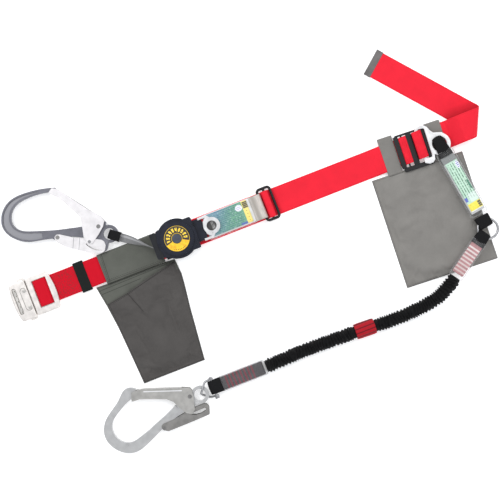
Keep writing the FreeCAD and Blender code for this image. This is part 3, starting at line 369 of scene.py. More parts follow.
def metal_paint(name, colour, rough=0.3, brush=(0.05, 1.0, 1.0), metallic=1.0, turn=0.0,
                extra=None, blotch=0.85):
    """Plated or painted metal: a drawn grain, handling marks and duller patches."""
    paint = Paint(name, Roughness=rough, Metallic=metallic)
    spot = paint.place((0, 0), turn)
    grain = paint.noise(spot, 0.7, 3.0, 0.6, stretch=brush)
    cloud = paint.noise(spot, 11, 4.0)
    scuff = paint.noise(spot, 3.0, 5.0, 0.7, stretch=(0.3, 1.4, 1.0)).ramp(0.62, 0.72)
    base = paint.mix(cloud.ramp(0.3, 0.7), shade(colour, blotch), shade(colour, 1.08))
    base = paint.mix(scuff * 0.25, base, shade(colour, 0.62))
    if extra is not None:
        mask, tint = extra(paint)
        base = paint.mix(mask, base, tint)
    paint.colour(base)
    mixed = grain * 0.6 + cloud * 0.6
    paint.roughness(mixed.ramp(0.35, 0.85, rough - 0.08, rough + 0.16))
    paint.bump(grain, 0.18, 0.1)
    return paint.material


def vinyl_paint(name, tint=(0.86, 0.9, 0.9), alpha=0.2, haze=0.3):
    """Clear flexible vinyl: nearly invisible face on, milky where it turns away."""
    paint = Paint(name, Roughness=0.16, Specular_IOR_Level=0.6, Coat_Weight=0.5)
    spot = paint.place()
    facing = paint.node("LayerWeight")
    facing.inputs["Blend"].default_value = 0.35
    cloud = paint.noise(spot, 9, 3.0)
    edge = Value(paint, facing.outputs["Facing"]).ramp(0.1, 0.85, 0.0, haze)
    veil = edge + cloud.ramp(0.35, 0.75, alpha * 0.6, alpha * 1.4)
    paint.join(paint.shader.inputs["Alpha"], veil)
    paint.colour(paint.mix(cloud, shade(tint, 0.93), shade(tint, 1.05)))
    paint.bump(paint.noise(spot, 5, 3.0), 0.25, 0.8)
    return paint.material


# ---------------------------------------------------------------- mesh helpers

def add_piece(name, verts, faces, material, body, uvs=None, replaces=()):
    """A mesh object from layout millimetres, riding on a body."""
    mesh = bpy.data.meshes.new(name)
    mesh.from_pydata([at(*v) for v in verts], [], faces)
    if uvs is not None:
        layer = mesh.uv_layers.new(name="UVMap")
        for loop in mesh.loops:
            layer.data[loop.index].uv = uvs[loop.vertex_index]
    work = bmesh.new()
    work.from_mesh(mesh)
    bmesh.ops.recalc_face_normals(work, faces=work.faces)
    work.to_mesh(mesh)
    work.free()
    mesh.shade_smooth()
    mesh.materials.append(material)
    made = bpy.data.objects.new(name, mesh)
    bpy.context.scene.collection.objects.link(made)
    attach(made, body)
    if replaces:
        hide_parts(*replaces)
    return made


FLAT_ANGLE, SOFTEN_ANGLE, SHARP_ANGLE = (math.radians(a) for a in (2.5, 32, 40))


def refined(node, bevel, material, segments=2):
    """A copy of a hard CAD solid with its edges softened, in its place."""
    mesh = frame["nodes"][node].data.copy()
    work = bmesh.new()
    work.from_mesh(mesh)
    bmesh.ops.remove_doubles(work, verts=work.verts, dist=2e-6)
    bmesh.ops.dissolve_limit(work, angle_limit=FLAT_ANGLE, verts=work.verts,
                             edges=work.edges)
    work.to_mesh(mesh)
    work.free()
    mesh.name = node + "_finish"
    mesh.materials.clear()
    mesh.materials.append(material)
    mesh.shade_smooth()
    mesh.set_sharp_from_angle(angle=SHARP_ANGLE)
    made = bpy.data.objects.new(mesh.name, mesh)
    bpy.context.scene.collection.objects.link(made)
    soften = made.modifiers.new("soften", "BEVEL")
    soften.width = bevel * MM
    soften.segments = segments
    soften.limit_method = "ANGLE"
    soften.angle_limit = SOFTEN_ANGLE
    soften.harden_normals = True
    soften.miter_outer = "MITER_ARC"
    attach(made, BODY_OF[node])
    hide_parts(node)


def refine(*rows):
    """Soften several nodes: each row holds what refined() takes."""
    for row in rows:
        refined(*row)


def dress(node, material):
    """Give a CAD node that stays as it is a better material."""
    data = frame["nodes"][node].data
    if not data.materials:
        data.materials.append(material)
    for i in range(len(data.materials)):
        data.materials[i] = material
    for slot in frame["nodes"][node].material_slots:
        slot.material = material


def rounded(points, radius, step=1.2, run=6.0):
    """Places along straight runs whose corners are rounded by arcs."""
    places = [Vector(p) for p in points]
    radii = radius if isinstance(radius, (list, tuple)) else [radius] * (len(places) - 2)
    line = [places[0]]

    def go_to(target):
        start = line[-1]
        count = max(1, int((target - start).length / run))
        for i in range(1, count + 1):
            line.append(start.lerp(target, i / count))

    for i in range(1, len(places) - 1):
        back = places[i - 1] - places[i]
        ahead = places[i + 1] - places[i]
        bend = math.pi - back.angle(ahead)
        if bend < 1e-3:
            continue
        reach = min(radii[i - 1] * math.tan(bend / 2), 0.49 * back.length, 0.49 * ahead.length)
        r = reach / math.tan(bend / 2)
        start = places[i] + back.normalized() * reach
        end = places[i] + ahead.normalized() * reach
        inward = (back.normalized() + ahead.normalized()).normalized()
        centre = places[i] + inward * (r / math.cos(bend / 2))
        go_to(start)
        count = max(2, int(r * bend / step))
        first, last = start - centre, end - centre
        for k in range(1, count + 1):
            line.append(centre + first.slerp(last, k / count) * r)
    go_to(places[-1])
    return line


def distances(line):
    """How far along a line each of its points is."""
    total = [0.0]
    for a, b in zip(line, line[1:]):
        total.append(total[-1] + (b - a).length)
    return total


def heading_at(line, i):
    """From the point before to the point after, which the ends stand in for."""
    return line[min(i + 1, len(line) - 1)] - line[max(i - 1, 0)]


def stations_along(line, across, width):
    """Stations of a strip: place, half its width as a vector, normal, distance and shear."""
    half = across.normalized() * (width / 2)
    return [(spot, half, heading_at(line, i).cross(across).normalized(), far, 0.0)
            for i, (spot, far) in enumerate(zip(line, distances(line)))]


def section_of(lanes, half, thickness, crown=0.0):
    """Places round a strip's section: (across from -1 to 1, height) pairs."""
    edge = min(0.5, 0.55 * thickness / half)
    marks = [-1.0, -1 + edge * 0.25, -1 + edge]
    marks += [-1 + edge + (2 - 2 * edge) * i / lanes for i in range(1, lanes)]
    marks += [1 - edge, 1 - edge * 0.25, 1.0]
    top, bottom = [], []
    for mark in marks:
        over = max(0.0, (abs(mark) - (1 - edge)) / edge)
        height = thickness / 2 * math.sqrt(max(0.0, 1 - over * over))
        lift = crown * (1 - mark * mark)
        top.append((mark, height + lift))
        if 0 < height:
            bottom.append((mark, -height + lift * 0.3))
    return top + bottom[::-1]


def tube_faces(count, size, closed=False):
    """Faces that join rings of vertices, with an end face on each open end."""
    faces = []
    for i in range(count if closed else count - 1):
        a, b = i * size, (i + 1) % count * size
        for k in range(size):
            n = (k + 1) % size
            faces.append((a + k, a + n, b + n, b + k))
    if not closed:
        faces.append(tuple(range(size))[::-1])
        faces.append(tuple((count - 1) * size + k for k in range(size)))
    return faces


def strip(name, stations, thickness, material, body, lanes=10, crown=0.0, replaces=(),
          closed=False):
    """Webbing: a closed mesh through its stations, with UVs along and across it."""
    half = stations[0][1].length
    section = section_of(lanes, half, thickness, crown)
    verts, uvs = [], []
    for centre, side, normal, along, shear in stations:
        for mark, height in section:
            verts.append(centre + side * mark + normal * height)
            uvs.append(((along + shear * mark) * MM, mark * half * MM))
    faces = tube_faces(len(stations), len(section), closed)
    return add_piece(name, verts, faces, material, body, uvs, replaces)


def soft_case(name, size_x, size_y, size_z, radius, material, body, origin=(0, 0), turn=0.0,
              cuts=26, swell=None, replaces=()):
    """A rounded box made of a fine grid, so that it can swell and wrinkle."""
    work = bmesh.new()
    bmesh.ops.create_cube(work, size=1.0)
    bmesh.ops.subdivide_edges(work, edges=work.edges, cuts=cuts, use_grid_fill=True)
    (x0, x1), (y0, y1), (z0, z1) = size_x, size_y, size_z
    verts = []
    for v in work.verts:
        p = Vector((x0 + (v.co.x + 0.5) * (x1 - x0), y0 + (v.co.y + 0.5) * (y1 - y0),
                    z0 + (v.co.z + 0.5) * (z1 - z0)))
        core = Vector((min(max(p.x, x0 + radius), x1 - radius),
                       min(max(p.y, y0 + radius), y1 - radius),
                       min(max(p.z, z0 + radius), z1 - radius)))
        out = p - core
        if out.length > 1e-6:
            p = core + out.normalized() * radius
        if swell is not None:
            p = swell(p)
        x, y = turned(p.x, p.y, origin, turn)
        verts.append((x, y, p.z))
    faces = [tuple(v.index for v in f.verts) for f in work.faces]
    work.free()
    return add_piece(name, verts, faces, material, body, None, replaces)


def filled(outline, spacing, height):
    """A triangulated sheet inside an outline, lifted by a function of place."""
    border = []
    for a, b in sides(outline):
        count = max(1, int(math.dist(a, b) / spacing))
        for i in range(count):
            t = i / count
            border.append(Vector((a[0] + (b[0] - a[0]) * t, a[1] + (b[1] - a[1]) * t)))
    edges = [(i, (i + 1) % len(border)) for i in range(len(border))]
    x0, x1 = min((p.x for p in border)), max((p.x for p in border))
    y0, y1 = min((p.y for p in border)), max((p.y for p in border))
    inner = []
    rows = int((y1 - y0) / spacing)
    for j in range(1, rows):
        shift = 0.5 * spacing if j % 2 else 0.0
        for i in range(1, int((x1 - x0) / spacing)):
            inner.append(Vector((x0 + i * spacing + shift, y0 + j * spacing)))
    near = spacing * 0.6
    kept = [p for p in inner if min((p - q).length for q in border) > near]
    points, _, faces, *_ = geometry.delaunay_2d_cdt(border + kept, edges, [], 1, 1e-4)
    verts = [(p.x, p.y, height(p.x, p.y)) for p in points]
    return verts, [tuple(f) for f in faces]


def patch(name, outline, spacing, height, material, body, replaces=()):
    """A sheet inside an outline, as a piece."""
    verts, faces = filled(outline, spacing, height)
    return add_piece(name, verts, faces, material, body, None, replaces)


def thicken(piece, thickness, offset=1.0):
    """Give a sheet its thickness, below its upper face."""
    wall = piece.modifiers.new("wall", "SOLIDIFY")
    wall.thickness = thickness * MM
    wall.offset = -offset


def sewn_edge(piece, outline, reach):
    """Numbers of the vertices that lie within a reach of the outline."""
    found = []
    for vertex in piece.data.vertices:
        x, y, _ = vertex.co / MM - SHIFT
        if edge_distance(x, y, outline) < reach:
            found.append(vertex.index)
    return found


SETTLE_CAP = 4 * MM
SETTLE_FRAMES = 20
CLOTH_SETTINGS = {"quality": 7, "mass": 0.12, "tension_stiffness": 20,
                  "compression_stiffness": 20, "bending_stiffness": 0.6,
                  "vertex_group_mass": "sewn", "use_pressure": True}


def settle(piece, sewn, slack, push, low, high):
    """Cloth simulation of a panel that is sewn down at its edge and cut a little too big."""
    group = piece.vertex_groups.new(name="sewn")
    group.add(sewn, 1.0, "REPLACE")
    cloth = piece.modifiers.new("cloth", "CLOTH")
    settings = cloth.settings
    for key, value in CLOTH_SETTINGS.items():
        setattr(settings, key, value)
    settings.shrink_min = -slack
    settings.uniform_pressure_force = push
    settings.effector_weights.gravity = 0
    cloth.point_cache.frame_start = 1
    cloth.point_cache.frame_end = SETTLE_FRAMES
    scene = bpy.context.scene
    for number in range(1, SETTLE_FRAMES + 1):
        scene.frame_set(number)
    shape = piece.evaluated_get(bpy.context.evaluated_depsgraph_get())
    moved = [v.co.copy() for v in shape.data.vertices]
    piece.modifiers.remove(cloth)
    piece.vertex_groups.remove(group)
    for vertex, place in zip(piece.data.vertices, moved):
        step = place - vertex.co
        if step.length > SETTLE_CAP:
            step = step.normalized() * SETTLE_CAP
        spot = vertex.co + step
        spot.z = min(max(spot.z, low * MM), high * MM)
        vertex.co = spot
    scene.frame_set(1)


def sides(outline):
    """The pairs of corners that an outline's sides join."""
    return list(zip(outline, outline[1:] + outline[:1]))


def flat_size(outline):
    """Width, length and area of a flat cut, in metres."""
    xs, ys = [p[0] for p in outline], [p[1] for p in outline]
    twice = 0.0
    for (ax, ay), (bx, by) in sides(outline):
        twice += ax * by - bx * ay
    size = (max(xs) - min(xs)) * MM, (max(ys) - min(ys)) * MM
    return size, abs(twice) / 2 * MM * MM


def declare_panel(outline, cut=None):
    """Work out a sewn panel's flat size and area, by its outline's own size or by that of a cut
    that lies turned; the results are not kept.
    """
    size, area = flat_size(outline)
    if cut is not None:
        size = cut[0] * MM, cut[1] * MM


def smooth_step(t):
    t = min(1.0, max(0.0, t))
    return t * t * (3 - 2 * t)


def side_distance(x, y, a, b):
    """Distance of a place from the straight line between two others."""
    spot, p, q = Vector((x, y)), Vector(a), Vector(b)
    t = min(1.0, max(0.0, (spot - p).dot(q - p) / (q - p).length_squared))
    return (spot - p.lerp(q, t)).length


def edge_distance(x, y, outline):
    """How far a place is from an outline."""
    return min(side_distance(x, y, a, b) for a, b in sides(outline))


# ---------------------------------------------------------------- the belt

BELT_PROFILE = [
    (-276, 2.6), (-391.2, 2.6), (-391.2, 9.2), (-370.4, 9.2), (-364.8, 4.9),
    (-80, 4.9), (-68, 1.6),
    (54.6, 1.6), (57.4, 12.6), (66.6, 12.6), (69.4, 1.6),
    (268, 1.6), (283, 6.0),
    (324.0, 6.0), (325.2, 12.2), (337.0, 12.2), (338.2, 6.0),
    (349.0, 6.0), (350.6, 17.6), (364.6, 17.6), (366.2, 6.0),
    (415, 6.0), (437, 23.6), (446, 23.6),
]
BELT_RADII = [3.2, 3.2, 5, 5, 8, 8, 1.8, 4.0, 4.0, 1.8, 12, 12,
              1.6, 4.4, 4.4, 1.6, 1.6, 6.0, 6.0, 1.6, 8, 4]


def hump_lean(x):
    """How far the belt's humps lean to follow the retainer's slots."""
    rise = smooth_step((x - 300) / 20)
    fall = smooth_step((400 - x) / 28)
    return -math.tan(PANEL_TURN) * rise * fall


def belt_stations():
    line = rounded([(x, BELT_Y, z) for x, z in BELT_PROFILE], BELT_RADII, 0.9, 7.0)
    stations = [(spot, side + ALONG_X * (hump_lean(spot.x) * side.y), normal, along, 0.0)
                for spot, side, normal, along, _ in stations_along(line, ALONG_Y,
                                                                   2 * BELT_HALF)]
    axis = Vector((math.cos(FOLD_ANGLE), math.sin(FOLD_ANGLE), 0))
    out = Vector((axis.y, -axis.x, 0))
    half_run = BELT_HALF / axis.y
    shear = half_run * axis.x
    along = stations[-1][3]
    start = stations[-1][0]
    top = start.z
    middle = Vector((FOLD_X, BELT_Y, 0))
    steps = 5
    for i in range(1, steps):
        t = i / steps
        lean = math.pi / 2 + (FOLD_ANGLE - math.pi / 2) * t
        side = Vector((math.cos(lean), math.sin(lean), 0)) * (BELT_HALF / math.sin(lean))
        spot = start.lerp(Vector((FOLD_X, BELT_Y, top)), t)
        stations.append((spot, side, UP.copy(), along + (spot - start).length, side.x))
    along += FOLD_X - start.x
    turns = 22
    for i in range(turns + 1):
        angle = math.pi * i / turns
        wound = FOLD_RADIUS * angle
        foot = middle + axis * (wound / out.x * axis.x)
        radial = out * math.sin(angle) + UP * math.cos(angle)
        centre = foot + UP * (Z_LYING + FOLD_RADIUS) + radial * FOLD_RADIUS
        stations.append((centre, axis * half_run, radial, along + wound / out.x, shear))
    along += FOLD_RADIUS * math.pi / out.x
    foot = stations[-1][0]
    heading = Vector((math.cos(2 * FOLD_ANGLE), math.sin(2 * FOLD_ANGLE), 0))
    square = Vector((heading.y, -heading.x, 0))
    count = 30
    for i in range(1, count + 1):
        t = i / count
        ease = min(1.0, i / 6)
        lean = axis.lerp(square, ease).normalized()
        side = lean * (BELT_HALF / abs(lean.dot(square)))
        lift = 0.5 * math.sin(math.pi * t) ** 2
        spot = foot + heading * (FREE_END * t) + UP * lift
        stations.append((spot, side, -UP, along + FREE_END * t, side.dot(heading)))
    return stations


def make_belt():
    """The belt, darker towards its left end, speckled where it is doubled back beside the buckle,
    and with a painted shadow where the fold's upper layer lies over the run beneath.
    """
    colour = 0.8, 0.018, 0.038
    deep = 0.6, 0.003, 0.017
    paint = Paint("belt_red", Roughness=0.75, Specular_IOR_Level=0.15)
    spot, along, across = paint.woven()
    ribs, ends = along.wave(1.3), across.wave(1.7)
    height = ribs * ends * 0.6 + ribs * 0.3
    fibre = paint.noise(spot, 0.5, 2.0, stretch=(0.35, 1.0, 1.0))
    cloud = paint.noise(spot, 30, 3.0)
    tone = (height * 0.2 + fibre + cloud).ramp(0.5, 1.6)
    base = paint.mix(tone, shade(colour, 0.84), shade(colour, 1.1))
    _, x, y = paint.ground((0, 0))
    base = paint.mix(x.ramp(-90, -190), base, paint.mix(tone, shade(deep, 0.85), deep))
    doubled = x.inside(-356, -300, 1.5) * y.inside(43, 89, 1.0)
    speck = paint.noise(paint.place((0, 0)), 2.2, 2.0).ramp(0.5, 0.62)
    base = paint.mix(doubled * speck * 0.55, base, (0.12, 0.03, 0.03))
    # Painted shadow that the fold's upper layer casts on the run beneath it.
    shadow = y.ramp(110, 91.5) * x.ramp(385, 430)
    shadow = shadow * y.ramp(90.6, 91.4)
    base = paint.mix(shadow * 0.6, base, shade(colour, 0.4))
    selvedge = across.inside(22.8, 23.6, 0.3) + across.inside(-23.6, -22.8, 0.3)
    base = paint.mix(selvedge * 0.3, base, shade(colour, 0.5))
    paint.colour(base)
    paint.bump(height + fibre * 0.8, 0.5, 0.35)
    strip("belt_strap", belt_stations(), BELT_T, paint.material, "belt", 14, 0.0,
          ["belt_webbing"])
    folded = Paint("belt_red_fold", Roughness=0.75, Specular_IOR_Level=0.15)
    spot, x, y = folded.ground()
    weave = x.wave(1.3) * y.wave(1.7)
    cloud = folded.noise(spot, 12, 3.0)
    folded.colour(folded.mix(cloud + weave * 0.12, shade(colour, 0.72), shade(colour, 1.12)))
    folded.bump(weave + cloud, 0.5, 0.35)


# ---------------------------------------------------------------- buckle

PLATE_WHITE = 0.78, 0.742, 0.71


def groove_shade_mask(paint):
    """Painted shade of the pressed groove that joins the two rivets, beside the knurled bar."""
    _, x, y = paint.ground((-411.5, 64.5))
    reach = abs(y)
    long = x.inside(-6.6, -5.4, 0.2) * reach.inside(-1, 14.5, 0.4)
    over = reach - 15.0
    radius = (x * x + over * over).root()
    beyond = over.ramp(-0.4, 0.4) * x.ramp(4.5, 4.0)
    bend = radius.inside(5.4, 6.6, 0.2) * beyond
    return long.larger(bend), (0.3, 0.28, 0.26)


def make_buckle():
    plated = metal_paint("plated_buckle", PLATE_WHITE, 0.34, (0.06, 1.0, 1.0), 0.55)
    # The housing carries the groove as painted shade.
    grooved = metal_paint("plated_housing", PLATE_WHITE, 0.34, (0.06, 1.0, 1.0), 0.55,
                          extra=groove_shade_mask)
    steel = metal_paint("buckle_steel", (0.62, 0.60, 0.57), 0.3, (1.0, 0.08, 1.0), 0.9)
    refine(("buckle_frame", 1.0, plated, 3), ("buckle_housing", 0.9, grooved, 3),
           ("buckle_slide_bar", 0.4, steel), ("buckle_rivets", 0.25, steel),
           ("buckle_grip_bar", 0.3, steel), ("buckle_button_lower", 0.5, plated),
           ("buckle_button_upper", 0.5, plated))
    make_keeper()


KEEPER_X, KEEPER_WIDTH = -302.5, 19.0


def make_keeper():
    black = webbing_paint("keeper_black", (0.006, 0.009, 0.008), 1.2, 1.6, depth=0.3)
    loop = rounded([(0, 66, 6.7), (0, 94.0, 6.7), (0, 94.0, 0.8), (0, 38.0, 0.8),
                    (0, 38.0, 6.7), (0, 66, 6.7)], 2.4, 0.9, 4.0)
    loop = [Vector((KEEPER_X, p.y, p.z)) for p in loop[:-1]]
    strip("keeper_loop", stations_along(loop, ALONG_X, KEEPER_WIDTH), 1.1, black, "keeper", 8, 0.15,
          ["belt_keeper"], closed=True)


# ---------------------------------------------------------------- pouches

LEFT_BACK = [(-287, 38.0), (-262, 37.0), (-151, 36.0), (-134.2, 34.6), (-132, 5), (-134, -15),
             (-140, -60), (-150, -157), (-268.5, -157), (-275, -50), (-281, 0)]
LEFT_FRONT = [(-278.6, 2), (-264, 3.6), (-237, 8), (-200, 18), (-150.8, 28.3),
              (-134.8, 31.5), (-132, 5), (-134, -15), (-140, -60), (-150, -157),
              (-268.5, -157), (-275, -50)]
FOLD_TOP_AT, FOLD_FOOT_AT = Vector((-237.3, 8.1)), Vector((-206.0, -78.0))


def left_front_height(x, y):
    """Height of the pocket's front: sewn down at its sides and foot, folded at its mouth."""
    sewn = LEFT_FRONT[5:] + LEFT_FRONT[:1]
    inset = min(side_distance(x, y, a, b) for a, b in zip(sewn, sewn[1:]))
    z = 2.6 + 3.4 * smooth_step(inset / 26)
    line = FOLD_FOOT_AT - FOLD_TOP_AT
    spot = Vector((x, y)) - FOLD_TOP_AT
    t = spot.dot(line) / line.length_squared
    side = (line.x * spot.y - line.y * spot.x) / line.length
    fade = 1 - smooth_step(t / 1.05)
    if t < 0:
        fade = 1.0
    z += 2.3 * fade * smooth_step((side + 0.6) / 2.2) * smooth_step(inset / 10)
    z -= 1.0 * fade * math.exp(-((side + 5) / 5) ** 2)
    for offset, lean, height, start in ((0.0, 0.14, 2.2, -60), (13.0, 0.05, 1.6, -48),
                                        (-13.0, 0.28, 1.5, -66), (30.0, -0.03, 0.9, -30),
                                        (-34.0, 0.2, 1.1, -30)):
        centre = FOLD_FOOT_AT.x + offset + lean * (FOLD_FOOT_AT.y - y)
        reach = smooth_step((start - y) / 30) * smooth_step((y + 157) / 40)
        z += height * reach * math.exp(-((x - centre) / 5.5) ** 2)
    z += 0.5 * noise.noise(Vector((x * 0.035, y * 0.02, 3.0))) * smooth_step(inset / 14)
    return z


def near_line(x, y, a, b, half=0.35, soft=0.25):
    """1 within half a millimetre or so of a straight line between two places."""
    p, q = Vector(a), Vector(b)
    heading = (q - p).normalized()
    length = (q - p).length
    dx, dy = x - p.x, y - p.y
    along = dx * heading.x + dy * heading.y
    off = dy * heading.x - dx * heading.y
    close = abs(off).ramp(half + soft, half)
    return close * along.inside(0.0, length, 0.3)


def seam_set(*lines):
    """A mask for several seams; dashed ones are rows of stitches."""
    def mask(x, y):
        total = None
        for a, b, dashed in lines:
            one = near_line(x, y, a, b)
            if dashed:
                heading = (Vector(b) - Vector(a)).normalized()
                along = x * heading.x + y * heading.y
                gaps = along.wave(3.4).ramp(-0.5, -0.2)
                one = one * gaps
            total = one if total is None else total.larger(one)
        return total
    return mask


def offset_outline(outline, inset):
    """The same corners moved inwards."""
    middle = Vector((sum(p[0] for p in outline) / len(outline),
                     sum(p[1] for p in outline) / len(outline)))
    moved = []
    for i, p in enumerate(outline):
        before, after = Vector(outline[i - 1]), Vector(outline[(i + 1) % len(outline)])
        p = Vector(p)
        a, b = (p - before).normalized(), (after - p).normalized()
        na, nb = Vector((-a.y, a.x)), Vector((-b.y, b.x))
        if na.dot(middle - p) < 0:
            na, nb = -na, -nb
        n = (na + nb).normalized()
        moved.append(tuple(p + n * (inset / max(0.4, n.dot(na)))))
    return moved


def outline_seams(outline, inset, dashed, closed=True):
    pairs = sides(offset_outline(outline, inset))
    return [(a, b, dashed) for a, b in (pairs if closed else pairs[:-1])]


SLEEVE_X, SLEEVE_WIDTH = -208.0, 113.5
LEFT_GREY = 0.074, 0.069, 0.066
LEFT_OLIVE = 0.102, 0.106, 0.092


def make_left_pouch():
    back_seams = seam_set(*outline_seams(LEFT_BACK[:1] + LEFT_BACK[3:], 2.6, True),
                          ((-285, 29.5), (-150, 31.5), False),
                          ((-284, 22), (-205, 24), False))
    back_paint = cloth_paint("left_pouch_back_cloth", LEFT_OLIVE, seams=back_seams)
    back = patch("left_pouch_rear", LEFT_BACK, 4.5,
                 lambda x, y: 1.35 + 1.5 * smooth_step((y + 10) / 30), back_paint, "belt",
                 ["left_pouch_back"])
    thicken(back, 1.1)
    declare_panel(LEFT_BACK)

    hem = [((-277.5, -1.4), (-237, 4.8), True), ((-237, 4.8), (-200, 14.8), True),
           ((-200, 14.8), (-136, 27.6), True), ((-277.8, 0.6), (-237, 6.8), False),
           ((-237, 6.8), (-136, 29.8), False), ((-237.3, 8.1), (-222, -34), False)]
    front_seams = seam_set(*hem, *outline_seams(LEFT_FRONT[5:] + LEFT_FRONT[:1], 2.4, True,
                                                closed=False))
    front_paint = cloth_paint("left_pouch_front_cloth", LEFT_GREY, seams=front_seams)
    front = patch("left_pouch_pocket", LEFT_FRONT, 2.6, left_front_height, front_paint,
                  "belt", ["left_pouch_front"])
    settle(front, sewn_edge(front, LEFT_FRONT, 3.0), 0.03, 1.2, 2.4, 9.9)
    thicken(front, 0.9)
    declare_panel(LEFT_FRONT)

    sleeve_seams = seam_set(((-258.5, 38), (-255.5, 91), False), ((-261, 38), (-258, 91), True),
                            ((-262, 40.2), (-151, 38.4), False),
                            ((-262, 43.0), (-151, 41.2), True))
    sleeve_paint = cloth_paint("left_pouch_sleeve_cloth", LEFT_OLIVE, seams=sleeve_seams)
    loop = rounded([(0, 66, 8.2), (0, 92.4, 8.2), (0, 92.4, 2.3), (0, 36.6, 2.3),
                    (0, 36.6, 8.2), (0, 66, 8.2)], 2.8, 0.9, 3.0)
    line = [Vector((SLEEVE_X, p.y, p.z)) for p in loop[:-1]]
    strip("left_pouch_loop", stations_along(line, ALONG_X, SLEEVE_WIDTH), 1.0, sleeve_paint, "belt",
          24, 0.3, ["left_pouch_sleeve"], closed=True)


PANEL_W, PANEL_H = 175.0, 207.0
RIGHT_GREY = 0.205, 0.197, 0.184


def panel_point(x, y):
    return turned(x, y, PANEL_CORNER, PANEL_TURN)


def right_front_height(x, y):
    c, s = math.cos(-PANEL_TURN), math.sin(-PANEL_TURN)
    dx, dy = x - PANEL_CORNER[0], y - PANEL_CORNER[1]
    px, py = dx * c - dy * s, dx * s + dy * c
    inset = min(px, PANEL_W - px, py + PANEL_H)
    mouth = smooth_step((py + 60) / 60)
    z = 2.4 + 2.7 * smooth_step(inset / 34) + 1.4 * mouth * smooth_step(inset / 12)
    z += 0.9 * noise.noise(Vector((px * 0.02, py * 0.017, 5.0))) * smooth_step(inset / 25)
    z += 0.35 * noise.noise(Vector((px * 0.06, py * 0.05, 9.0))) * smooth_step(inset / 15)
    return min(z, 7.0)


def make_right_pouch():
    def panel_seams(x, y):
        left, foot = abs(x), abs(y + PANEL_H)
        right = abs(x - PANEL_W)
        top = abs(y)
        near = left.smaller(right).smaller(top.smaller(foot))
        piping = near.ramp(1.5, 1.0) * 0.75
        stitch = near.inside(3.2, 3.8, 0.2) * (x + y).wave(3.4).ramp(-0.5, -0.2)
        return piping.larger(stitch * 0.6)

    paint = cloth_paint("right_pouch_cloth", RIGHT_GREY, 0.9, PANEL_CORNER, PANEL_TURN,
                        panel_seams, 0.86)
    corners = [panel_point(x, y) for x, y in
               ((1.5, -0.6), (0.4, -PANEL_H + 1.5), (1.5, -PANEL_H + 0.4),
                (PANEL_W - 1.5, -PANEL_H + 0.4), (PANEL_W - 0.4, -PANEL_H + 1.5),
                (PANEL_W - 1.5, -0.6))]
    front = patch("right_pouch_pocket", corners, 4.0, right_front_height, paint, "belt",
                  ["right_pouch_front"])
    settle(front, sewn_edge(front, corners, 3.5), 0.03, 1.0, 2.2, 7.1)
    thicken(front, 0.9)
    declare_panel(corners, (PANEL_W, PANEL_H))
    corners = [panel_point(x, y) for x, y in
               ((0.5, -0.5), (0.5, -PANEL_H + 0.5), (PANEL_W - 0.5, -PANEL_H + 0.5),
                (PANEL_W - 0.5, -0.5))]
    back = patch("right_pouch_rear", corners, 8.0, lambda x, y: 1.2, paint, "belt",
                 ["right_pouch_back"])
    thicken(back, 0.9)
    declare_panel(corners, (PANEL_W, PANEL_H))

    loop_paint = webbing_paint("right_loop_cloth", RIGHT_GREY, 0.9, 0.9, depth=0.22, dark=0.82)
    for i, (x0, x1) in enumerate(((32.0, 59.0), (121.5, 150.5))):
        middle, width = (x0 + x1) / 2, x1 - x0
        route = rounded([(0, -3, 7.3), (0, 67.6, 7.5), (0, 67.6, 2.4), (0, -3, 2.2)], 2.4,
                        0.9, 3.0)
        line = []
        for p in route:
            x, y = panel_point(middle, p.y)
            line.append(Vector((x, y, p.z)))
        side = Vector((math.cos(PANEL_TURN), math.sin(PANEL_TURN), 0))
        strip("right_loop_%d" % (i + 1), stations_along(line, side, width), 1.0, loop_paint,
              "belt", 12, 0.2, ["right_pouch_loops"])


# ---------------------------------------------------------------- reel

def make_reel():
    navy = plastic_paint("reel_navy", (0.006, 0.008, 0.017), 0.34, 0.8, 0.10)
    black = plastic_paint("reel_black", (0.005, 0.006, 0.009), 0.42)
    cap = plastic_paint("reel_cap_grey", (0.055, 0.062, 0.085), 0.38)
    refine(("reel_back_shell", 0.7, navy), ("reel_front_shell", 0.9, navy, 3),
           ("reel_webbing_guide", 0.7, black), ("reel_centre_cap", 0.3, cap))
    steel = metal_paint("reel_steel", (0.55, 0.55, 0.56), 0.3)
    for node in ("reel_axle", "reel_power_spring", "reel_ratchet", "reel_pawl", "reel_screws"):
        dress(node, steel)
    dress("reel_drum", black)
    dress("reel_webbing", cloth_paint("reel_wound_strap", (0.25, 0.25, 0.26)))
    dress("reel_label_ring", label_ring_paint())
    white = metal_paint("bracket_white", (0.68, 0.68, 0.69), 0.3, (0.1, 1.0, 1.0), 0.35)
    refined("reel_eye_bracket", 0.7, white, 3)
    make_eye_backing()


